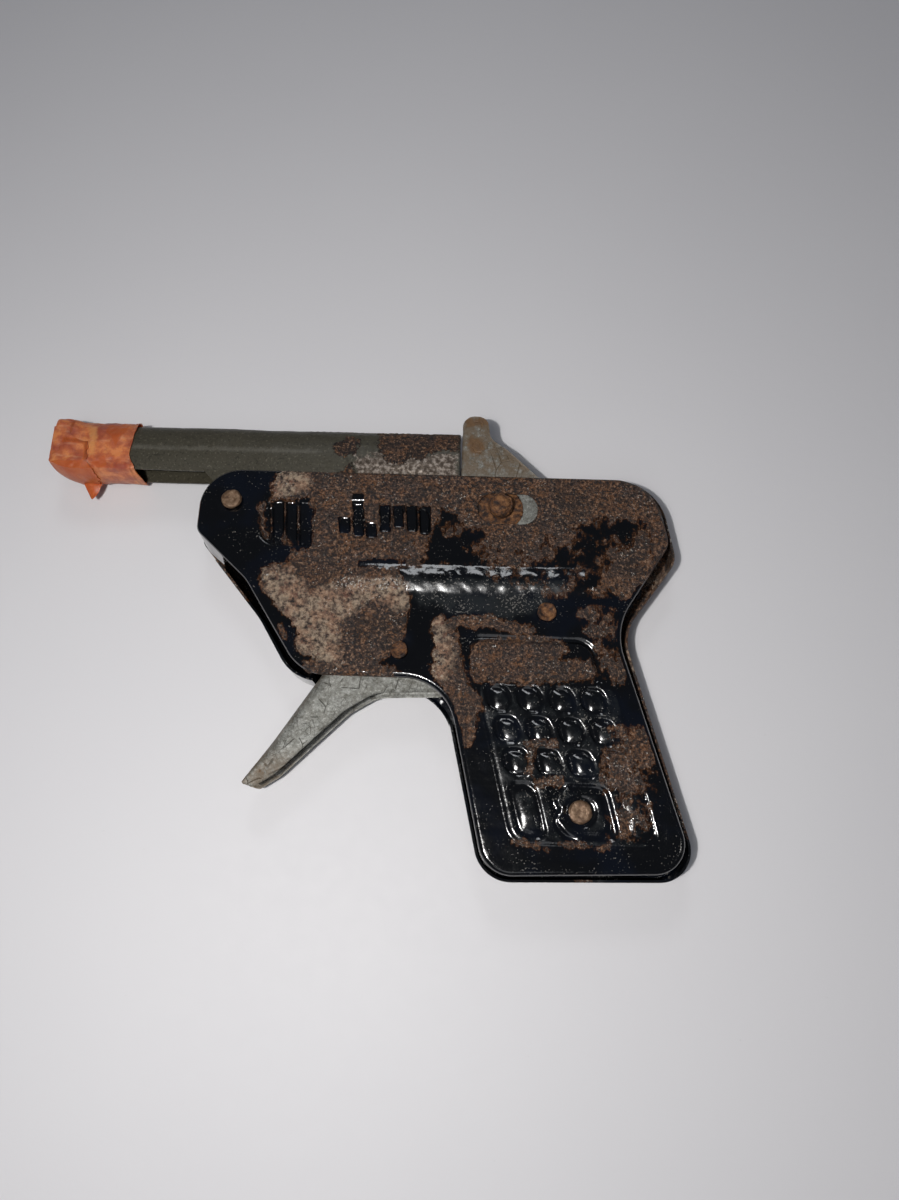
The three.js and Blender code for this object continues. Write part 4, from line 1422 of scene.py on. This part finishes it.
TAPE_FRONT = node_box("muzzle_tape")[0][0] - 0.05
TAPE_REAR_TOP = -74.5
TAPE_REAR_BOTTOM = -72.7
TAPE_MARGIN = 0.5
TAPE_SAG = 0.7
STRIP_RISE = 0.32
STRIP_EDGE = [(12.6, -87.5), (12.4, -83.4), (7.9, -82.9), (6.2, -81.6), (2.0, -80.0)]
FRONT_FOLD = [(-87.4, 18.5), (-87.3, 14.3), (-88.2, 12.3), (-87.9, 10.9), (-90.7, 8.9)]
STRIP_CREASE = [(-88.2, 12.4), (-83.6, 12.2), (-83.1, 8.0)]
YELLOW_PATCH = [(-84.4, 16.6), (-82.6, 16.4), (-81.7, 13.2), (-81.9, 10.0), (-82.7, 9.0), (-83.2, 12.9)]
RED_BLOTS = [
    [(-81.8, 7.6), (-79.6, 9.2), (-78.6, 7.2), (-80.4, 6.4)],
    [(-80.6, 17.2), (-76.0, 17.0), (-76.4, 14.9), (-77.6, 11.5), (-78.8, 13.5), (-80.4, 14.9)],
]


def tape_template(margin):
    """The closed section of the tape round the barrel, starting and ending under the middle."""
    underside = BARREL_UNDERSIDE - margin + 0.3
    path = channel_path(BARREL_TOP + margin, underside, BARREL_HALF + margin, SHOULDER, 0.1, 2)
    half = path[0, 1]
    under = np.linspace(0, 1, 14)[:-1]
    sag = TAPE_SAG * (1 - under**2)
    first = np.column_stack((path[0, 0] - sag, half * under))
    last = np.column_stack((path[-1, 0] - sag, -half * under))[::-1]
    return np.vstack((first, path, last))


def squared(template, top, power):
    """The template with its round top drawn out towards square corners; a power of 1 leaves it round."""
    height, side = template.T
    half = np.abs(side).max()
    above = height > SHOULDER
    rise = np.clip((height - SHOULDER) / (top - SHOULDER), 0, 1)
    reach = np.clip(np.abs(side) / half, 0, 1)
    square_height = np.where(above, SHOULDER + (top - SHOULDER) * rise**power, height)
    square_side = np.where(above, np.sign(side) * half * reach**power, side)
    return np.column_stack((square_height, square_side))


def tape_points(template, x, seed=81):
    """Where the template's points lie at given stations, pinched together in front of the muzzle."""
    beyond = np.clip((MUZZLE - x) / (MUZZLE - TAPE_FRONT), 0, 1)
    pinch = 1 - 0.04 * beyond - 0.08 * beyond**16
    bottom = template[:, 0].min()
    top = template[:, 0].max()
    height, side = squared(template, top, 1 - 0.6 * ease(beyond, 0.0, 0.8)).T
    risen = bottom + 2.0 * np.clip((-86.0 - x) / 5.0, 0, 1) ** 1.6
    lowered = top - 0.1 * beyond
    y = risen + (height - bottom) * (lowered - risen) / (top - bottom)
    around = np.arange(len(template)) * 0.22
    sheet = np.column_stack((x, around))
    crumple = 0.06 * waves(seed, 4.5)(sheet) + 0.03 * waves(seed + 1, 1.6)(sheet)
    folds = 0.12 * (np.abs(waves(seed + 2, 6.0)(sheet)) - 0.7)
    shift = np.clip(crumple + folds, -0.22, 0.22) * ease(np.abs(height - bottom), 0.0, 0.6)
    outwards = np.column_stack((height - (bottom + top) / 2, side * 2.2))
    outwards /= np.maximum(np.linalg.norm(outwards, axis=1), 0.1)[:, None]
    y = y + outwards[:, 0] * shift
    return np.column_stack((x, y, MIDDLE + side * pinch + outwards[:, 1] * shift * pinch))


def near_side(points, polygon):
    """How far each point is inside a patch on the side that faces up; negative elsewhere."""
    return np.where(points[:, 2] > MIDDLE + 1.0, inside(points[:, :2], polygon), -3.0)


def tape_fields(points):
    flat = points[:, :2]
    near = points[:, 2] > MIDDLE + 0.3
    # the crease field is painted shade: along the fold at the front and along the rear hem
    fold = np.where(near, 0.28 - along(flat, FRONT_FOLD), -3.0)
    rear = 0.25 - np.abs(points[:, 0] - (TAPE_REAR_TOP + TAPE_REAR_BOTTOM) / 2 + 0.4)
    # the double field also darkens patches along the underside
    under = 0.9 - np.abs(points[:, 1] - BARREL_UNDERSIDE - 0.2)
    return {
        "crease": np.maximum(fold, 0.8 * np.minimum(rear, 0.1)),
        "double": np.maximum.reduce([near_side(points, blot) for blot in RED_BLOTS] + [0.4 * under - 0.5]),
        "pale": near_side(points, YELLOW_PATCH),
    }


def tape_wrap_surface():
    """The tape as a closed sleeve, pinched shut in front, with a turned-in hem at its rear edge."""
    template = tape_template(TAPE_MARGIN)
    shares = np.linspace(0, 1, 74)
    top_share = (template[:, 0] - template[:, 0].min()) / np.ptp(template[:, 0])
    rear = TAPE_REAR_BOTTOM + (TAPE_REAR_TOP - TAPE_REAR_BOTTOM) * np.minimum(1, 4 * top_share)
    rear = rear + 0.06 * waves(88, 4.0)(np.column_stack((rear, np.arange(len(template)) * 0.22)))
    rows = [tape_points(template, TAPE_FRONT + (rear - TAPE_FRONT) * share) for share in shares]
    thin = tape_template(TAPE_MARGIN - 0.22)
    rows.append(tape_points(thin, rear - 0.02))
    rows.append(tape_points(thin, rear - 1.2))
    surface = gridded(rows, closed=True, **tape_fields(np.vstack(rows)))
    surface.faces.append(list(range(len(template)))[::-1])
    return surface


def tape_strip_surface():
    """The second layer round the lower front, from one side across the underside to the other."""
    template = tape_template(TAPE_MARGIN + STRIP_RISE)
    heights, edges = np.array(STRIP_EDGE)[::-1].T
    low = [index for index in range(len(template)) if template[index, 0] < 12.6]
    turn = next(position for position, index in enumerate(low) if index != position)
    order = low[turn:] + low[:turn]
    shares = np.linspace(0, 1, 34)
    rear = np.interp(template[:, 0], heights, edges)
    far = template[:, 1] < 0
    rear = np.where(far, rear - 0.8, rear) + 0.08 * waves(97, 1.5)(template)
    front = TAPE_FRONT - 0.15
    rows = [tape_points(template, front + (rear - front) * share)[order] for share in shares]
    points = np.vstack(rows)
    fields = tape_fields(points)
    near = points[:, 2] > MIDDLE + 0.3
    # painted shade along the second layer's crease and along the front fold
    crease = np.where(near, 0.34 - along(points[:, :2], STRIP_CREASE), -3.0)
    fields["crease"] = np.maximum(crease, np.where(near, 0.15 - along(points[:, :2], FRONT_FOLD), -3.0))
    # the strip is deeper next to its crease and towards its lower edge
    fields["double"] = np.maximum(1.6 - along(points[:, :2], STRIP_CREASE) * 1.7, 8.6 - points[:, 1]) - 0.7
    surface = gridded(rows, **fields)
    surface.join(tape_tab())
    return surface


def tape_tab():
    """The torn end that hangs below the barrel."""
    rows = []
    shares = np.linspace(0, 1, 16)
    across = np.linspace(0, 1, 12)
    for share in shares:
        left = np.interp(share, (0, 0.45, 0.9, 1), (-86.2, -85.2, -84.1, -83.8))
        right = np.interp(share, (0, 0.5, 0.85, 1), (-81.9, -82.4, -83.1, -83.5))
        y = 6.6 - 4.1 * share + 0.12 * np.sin(across * 5)
        x = left + (right - left) * across
        z = 3.5 + 0.35 * np.sin(across * math.pi) + 0.15 * np.sin(share * 7)
        rows.append(np.column_stack((x, y, z)))
    points = np.vstack(rows)
    surface = Surface()
    count = len(points)
    faces = [face[::-1] for face in grid_faces(len(shares), len(across))]
    # the tab gets the deeper colour and a trace of the painted crease shade
    surface.add(
        points, faces, crease=np.full(count, -0.12), double=np.full(count, 0.5), pale=np.full(count, -3.0)
    )
    return surface


def add_tape(tape):
    for name, surface, node, thickness in (
        ("muzzle_tape_wrap", tape_wrap_surface(), "muzzle_tape", 0.0),
        ("muzzle_tape_end", tape_strip_surface(), "muzzle_tape_strip", 0.2),
    ):
        piece(name, surface, tape, "barrel", node, "orange_tape", thickness=thickness, sharp=60)


# ---------------------------------------------------------------- hammer and trigger

HAMMER_HALF = (node_box("hammer")[1][2] - node_box("hammer")[0][2]) / 2
TRIGGER_HALF = (node_box("trigger")[1][2] - node_box("trigger")[0][2]) / 2
TAIL_ANGLE = 257
TAIL_LENGTH = 12.75
ARM_ANGLE = 47.5
ARM_LENGTH = 22.8
ENGAGEMENT_GAP = 0.2
SPRING_HOLE = (-3.2, -3.0)
TRIGGER_TIP = np.array((-45.7, -54.0))
TRIGGER_SHOULDER = np.array((-27.5, -25.0))


def reach(centre, degrees, distance, left=0.0):
    """The place at a distance from a centre in a direction, moved to the left of that direction."""
    angle = math.radians(degrees)
    ahead = np.array((math.cos(angle), math.sin(angle)))
    return np.asarray(centre) + ahead * distance + np.array((-ahead[1], ahead[0])) * left


def tail(distance, left):
    return reach((0, 0), TAIL_ANGLE, distance, left)


def arm(distance, left):
    return reach(TRIGGER_PIVOT, ARM_ANGLE, distance, left)


HAMMER_LEAF = [
    (-7.9, 20.0, 2.4),
    (-7.9, -4.5, 4),
    (*tail(TAIL_LENGTH, -ENGAGEMENT_GAP - 3.0), 0.6),
    (*tail(TAIL_LENGTH, -ENGAGEMENT_GAP), 0.3),
    (*tail(7.6, -ENGAGEMENT_GAP), 0.8),
    (8.2, -5.5, 5),
    (8.8, 5.6, 3),
    (1.3, 12.6, 4),
    (-2.4, 15.2, 3),
    (-2.9, 20.0, 2.3),
]
TRIGGER_LEAF = [
    (*TRIGGER_TIP, 0.5),
    (-43.2, -54.6, 0.8),
    (-39.6, -52.2, 3),
    (-27.8, -40.2, 6),
    (-22.3, -36.7, 7),
    (-7.8, -36.0, 3),
    (-8.5, -27.0, 4),
    (*arm(ARM_LENGTH, -ENGAGEMENT_GAP - 2.4), 0.6),
    (*arm(ARM_LENGTH, -ENGAGEMENT_GAP), 0.3),
    (*arm(9.0, -ENGAGEMENT_GAP), 3),
    (*TRIGGER_SHOULDER, 4),
]
HAMMER_STAINS = [
    [(-6.6, 15.8), (-4.0, 15.6), (-3.2, 12.8), (-4.9, 10.8), (-6.7, 12.3), (-7.2, 14.6)],
    [(-7.9, 20.0), (-2.6, 20.0), (-2.4, 17.6), (-7.9, 17.8)],
]


def folded(leaf, holes, bend, half, fold, fields, seed, spacing=0.4):
    """A channel folded from sheet: two leaves, joined where the outline is folded."""
    dents = waves(seed, 9)

    def height(points):
        return 0.05 * dents(points) * ease(inside(points, leaf[::2]), 0, 1.5) - 0.05

    def folded_there(points):
        return fold

    near = bent_sheet(leaf, holes, height, bend, half, folded_there, fields, spacing)
    near.raised(MIDDLE + half)
    both = Surface()
    both.join(near)
    both.join(near.turned_over(MIDDLE))
    return both


def stains_of_hammer(points, drop):
    return np.maximum.reduce([inside(points, patch) * 1.5 - 0.4 for patch in HAMMER_STAINS])


def stains_of_trigger(points, drop):
    return near_centre(points, TRIGGER_TIP + (3.5, 2.6), 3.0) * 0.6 - 1.9


def grime_of_hammer(points, drop):
    return ease(points[:, 1], 4.0, 9.0)


def grime_of_trigger(points, drop):
    """The trigger is darker brown at its tip and round its front bend."""
    tip = ease(points[:, 1], -46.0, -52.0)
    return 0.1 + 0.65 * tip + 0.35 * (drop > 0.3)


def hammer_surface():
    leaf = rounded(HAMMER_LEAF, 0.35)
    front = [(-7.9, 17.2), (-7.9, -0.5)]
    heel = [tail(TAIL_LENGTH - 0.5, -ENGAGEMENT_GAP), tail(TAIL_LENGTH - 2.6, -ENGAGEMENT_GAP)]
    folded_edge = np.minimum(along(leaf, front), along(leaf, heel)) < 0.06
    holes = [ring((0, 0), 1.5, 30), ring(SPRING_HOLE, 0.5, 16)]
    fields = {"rust": stains_of_hammer, "grime": grime_of_hammer}
    return folded(leaf, holes, np.where(folded_edge, 0.7, 0.0), HAMMER_HALF, folded_edge, fields, 101)


def trigger_surface():
    """The finger side is one round bend, wide in the middle of its length and tight at the tip."""
    leaf = rounded(TRIGGER_LEAF, 0.35)
    down = TRIGGER_SHOULDER - TRIGGER_TIP
    length = np.linalg.norm(down)
    share = (leaf - TRIGGER_TIP) @ down / length**2
    front = along(leaf, [TRIGGER_TIP + down * 0.02, TRIGGER_TIP + down * 0.87]) < 0.06
    heel = along(leaf, [arm(ARM_LENGTH - 0.5, -ENGAGEMENT_GAP), arm(14, -ENGAGEMENT_GAP)]) < 0.06
    round_bend = 0.45 + 1.75 * ease(share, 0.0, 0.3) * (1 - ease(share, 0.72, 0.86))
    bend = np.where(front, round_bend, np.where(heel, 0.6, 0.0))
    holes = [ring(TRIGGER_PIVOT, 2.0, 36)]
    fields = {"rust": stains_of_trigger, "grime": grime_of_trigger}
    return folded(leaf, holes, bend, TRIGGER_HALF, front | heel, fields, 111)


def add_hammer_and_trigger(zinc):
    for node, surface in (("hammer", hammer_surface()), ("trigger", trigger_surface())):
        piece(node + "_channel", surface, zinc, node, node, "zinc_plate", thickness=SHEET, weld=0.02)


# ---------------------------------------------------------------- rivets, tubes and washers

SHANK = 1.05
SEAM = 0.03  # half the open angle of a tube's seam
FLAT_HEAD = [
    (1.0, 0.0), (1.0, 0.42), (0.93, 0.66), (0.78, 0.76), (0.6, 0.78), (0.42, 0.72), (0.2, 0.70), (0.0, 0.70),
]
DISHED_HEAD = [
    (1.0, 0.0), (1.0, 0.24), (0.95, 0.42), (0.84, 0.48), (0.72, 0.44), (0.6, 0.26), (0.3, 0.20), (0.0, 0.22),
]
TAIL_PROFILE = [(0, 0.0), (1.2, 0.0), (1.8, 0.08), (2.0, 0.4), (1.95, 0.85), (SHANK, 0.86)]


def rivet_surface(centre, head, seed):
    """A rivet with its formed tail below, and a head given as radius and height above the left face."""
    seat = LEFT_FACE + 0.05
    above = [(SHANK, seat), *[(radius, seat + rise) for radius, rise in head]]
    profile = np.vstack((smooth_profile(TAIL_PROFILE), smooth_profile(above)))
    return turned(centre, profile, waver=0.045, seed=seed)


def sized(head, radius):
    return [(share * radius, rise) for share, rise in head]


def add_rivets(tarnished, rusted):
    rivets = (
        ("barrel_rivet", BARREL_PIVOT, sized(FLAT_HEAD, 1.93), tarnished, "rivet_steel"),
        ("trigger_rivet", TRIGGER_PIVOT, sized(DISHED_HEAD, 1.58), rusted, "rusty_steel"),
        ("anchor_rivet", ANCHOR, sized(DISHED_HEAD, 1.75), rusted, "rusty_steel"),
        ("grip_rivet", GRIP_RIVET, sized(FLAT_HEAD, 2.02), tarnished, "rivet_steel"),
    )
    for seed, (node, centre, head, material, slot) in enumerate(rivets):
        surface = rivet_surface(centre, head, seed)
        piece(node + "_set", surface, material, "frame", node, slot, weld=0.003, sharp=50)


def add_tubes(zinc):
    """Rolled spacer tubes, each with the open seam of its strip."""
    tubes = (
        ("barrel_pivot_tube", BARREL_PIVOT),
        ("trigger_pivot_tube", TRIGGER_PIVOT),
        ("anchor_tube", ANCHOR),
        ("grip_tube", GRIP_RIVET),
    )
    for node, centre in tubes:
        low, high = node_box(node)
        bottom, top = low[2], high[2]
        outside = [(1.78, bottom), (1.88, bottom + 0.1), (1.88, top - 0.1), (1.78, top)]
        angles = np.linspace(SEAM, 2 * math.pi - SEAM, 60)
        around = np.column_stack((np.cos(angles), np.sin(angles)))
        rows = []
        for radius, height in [(1.3, bottom), *outside, (1.3, top)]:
            rows.append(np.column_stack((centre + radius * around, np.full(len(angles), height))))
        surface = gridded(rows, rust=np.full(len(rows) * len(angles), -1.2))
        piece(node + "_rolled", surface, zinc, "frame", node, "zinc_plate", thickness=0.4)


def washer_surface(node, waver, seed):
    low, high = node_box(node)
    radius = (high[0] - low[0]) / 2 - waver
    bore, bottom, top = 1.55, low[2], high[2]
    profile = [
        (bore, bottom + 0.05), (radius - 0.1, bottom + 0.02), (radius, bottom + 0.15), (radius, top - 0.15),
        (radius - 0.12, top - 0.03), (2.9, top - 0.03), (bore + 0.1, top - 0.03), (bore, top - 0.12),
        (bore, bottom + 0.05),
    ]
    return turned((0, 0), profile, count=96, waver=waver, seed=seed)


def stud_surface():
    """The hammer's stud: a broad worn head over a groove, and a small tip."""
    top = node_box("hammer_stud")[1][2]
    tail_end = smooth_profile([(0, 0.0), (1.4, 0.0), (2.1, 0.1), (2.28, 0.45), (2.2, 0.85), (1.38, 0.86)])
    head = smooth_profile([
        (1.38, top - 2.8), (2.3, top - 2.78), (2.34, top - 1.6), (2.3, top - 0.75), (2.05, top - 0.5),
        (1.85, top - 0.62), (1.72, top - 0.4), (1.3, top - 0.1), (0.7, top - 0.04), (0, top - 0.08),
    ])
    return turned((0, 0), np.vstack((tail_end, head)), waver=0.05, seed=9)


def add_hammer_pivot(rusted, zinc):
    stud = stud_surface()
    piece("hammer_stud_worn", stud, rusted, "frame", "hammer_stud", "rusty_steel", weld=0.003, sharp=50)
    for node, material, slot, waver, seed in (
        ("hammer_washer_left", rusted, "rusty_steel", 0.09, 21),
        ("hammer_washer_right", zinc, "zinc_plate", 0.02, 22),
    ):
        surface = washer_surface(node, waver, seed)
        surface.fields["rust"] = np.full(len(surface.points), -1.0)
        piece(node + "_disc", surface, material, "hammer", node, slot, weld=0.003, sharp=50)


# ---------------------------------------------------------------- springs

WIRE = 0.24
TUBE_RADIUS = 1.9


def coil(start, end, radius, turns, per_turn=16):
    """Points of a coil about the line between two places."""
    axis = end - start
    across = np.array((0.0, 0.0, 1.0))
    side = np.cross(unit(axis), across)
    shares = np.arange(turns * per_turn + 1) / (turns * per_turn)
    angles = shares * turns * 2 * math.pi
    around = np.outer(np.cos(angles), side) + np.outer(np.sin(angles), across)
    return start + np.outer(shares, axis) + radius * around


def hammer_spring_points():
    """The spring from a hook in the hammer's hole to a loop round the anchor, with both its ends."""
    height = MIDDLE + HAMMER_HALF - 2.6
    hook = np.array((*SPRING_HOLE, height))
    anchor = np.array((*ANCHOR, height))
    ahead = unit(anchor - hook)
    heading = math.atan2(ahead[1], ahead[0])
    angles = heading + math.pi + 0.5 + np.linspace(0, 1.45 * math.pi, 30)
    loop_radius = TUBE_RADIUS + WIRE + 0.25
    loop = anchor + loop_radius * np.column_stack((np.cos(angles), np.sin(angles), 0 * angles))
    hook_end = [
        (*SPRING_HOLE, MIDDLE + HAMMER_HALF + 0.1),
        (*SPRING_HOLE, MIDDLE + HAMMER_HALF - 1.0),
        (*(hook + ahead * 0.7)[:2], height + 0.9),
    ]
    return np.vstack((hook_end, coil(hook + ahead * 2.6, anchor - ahead * 4.6, 1.2, 11), loop)), hook, anchor


def trigger_spring_points():
    """The spring wound round the trigger's tube, with a leg to the trigger and one to the anchor."""
    radius = TUBE_RADIUS + WIRE + 0.4
    turns = 3.6
    shares = np.linspace(0, 1, 64)
    angles = -2.55 + shares * turns * 2 * math.pi
    x, y = TRIGGER_PIVOT
    heights = MIDDLE + 1.2 - 2.4 * shares
    winding = np.column_stack((x + radius * np.cos(angles), y + radius * np.sin(angles), heights))
    trigger_leg = (x - 9.0, y - 7.0, MIDDLE + 1.2)
    anchor_leg = (ANCHOR[0] + 1.5, ANCHOR[1] - TUBE_RADIUS - 0.5, MIDDLE - 1.2)
    return np.vstack(([trigger_leg], winding, [anchor_leg]))


def add_springs(steel):
    route, hook, anchor = hammer_spring_points()
    winding = wire(smooth_chain(route, 2), WIRE)
    item = piece("hammer_spring_wound", winding, steel, None, "hammer_spring", "spring_wire")
    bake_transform(item)

    route = trigger_spring_points()
    winding = wire(smooth_chain(route, 3), WIRE)
    item = piece("trigger_spring_wound", winding, steel, None, "trigger_spring", "spring_wire")
    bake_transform(item)


# ---------------------------------------------------------------- build everything

FLOOR_HALF = 1.5  # metres


def add_floor():
    mesh = bpy.data.meshes.new("floor")
    corners = [(x * FLOOR_HALF, y * FLOOR_HALF, 0) for x, y in ((-1, -1), (1, -1), (1, 1), (-1, 1))]
    mesh.from_pydata(corners, [], [(0, 1, 2, 3)])
    mesh.materials.append(pale_floor())
    floor = bpy.data.objects.new("floor", mesh)
    bpy.context.scene.collection.objects.link(floor)


ENAMELLED = rusting_enamel()
OLIVE = olive_paint()
ZINC = crazed_zinc()
TARNISHED = tarnished_steel()
RUSTED = orange_rust()

add_camera()
add_lights()
add_floor()
add_shells(ENAMELLED)
add_barrel(OLIVE, ZINC)
add_tape(orange_tape())
add_hammer_and_trigger(ZINC)
add_rivets(TARNISHED, RUSTED)
add_tubes(ZINC)
add_hammer_pivot(RUSTED, ZINC)
add_springs(spring_steel())
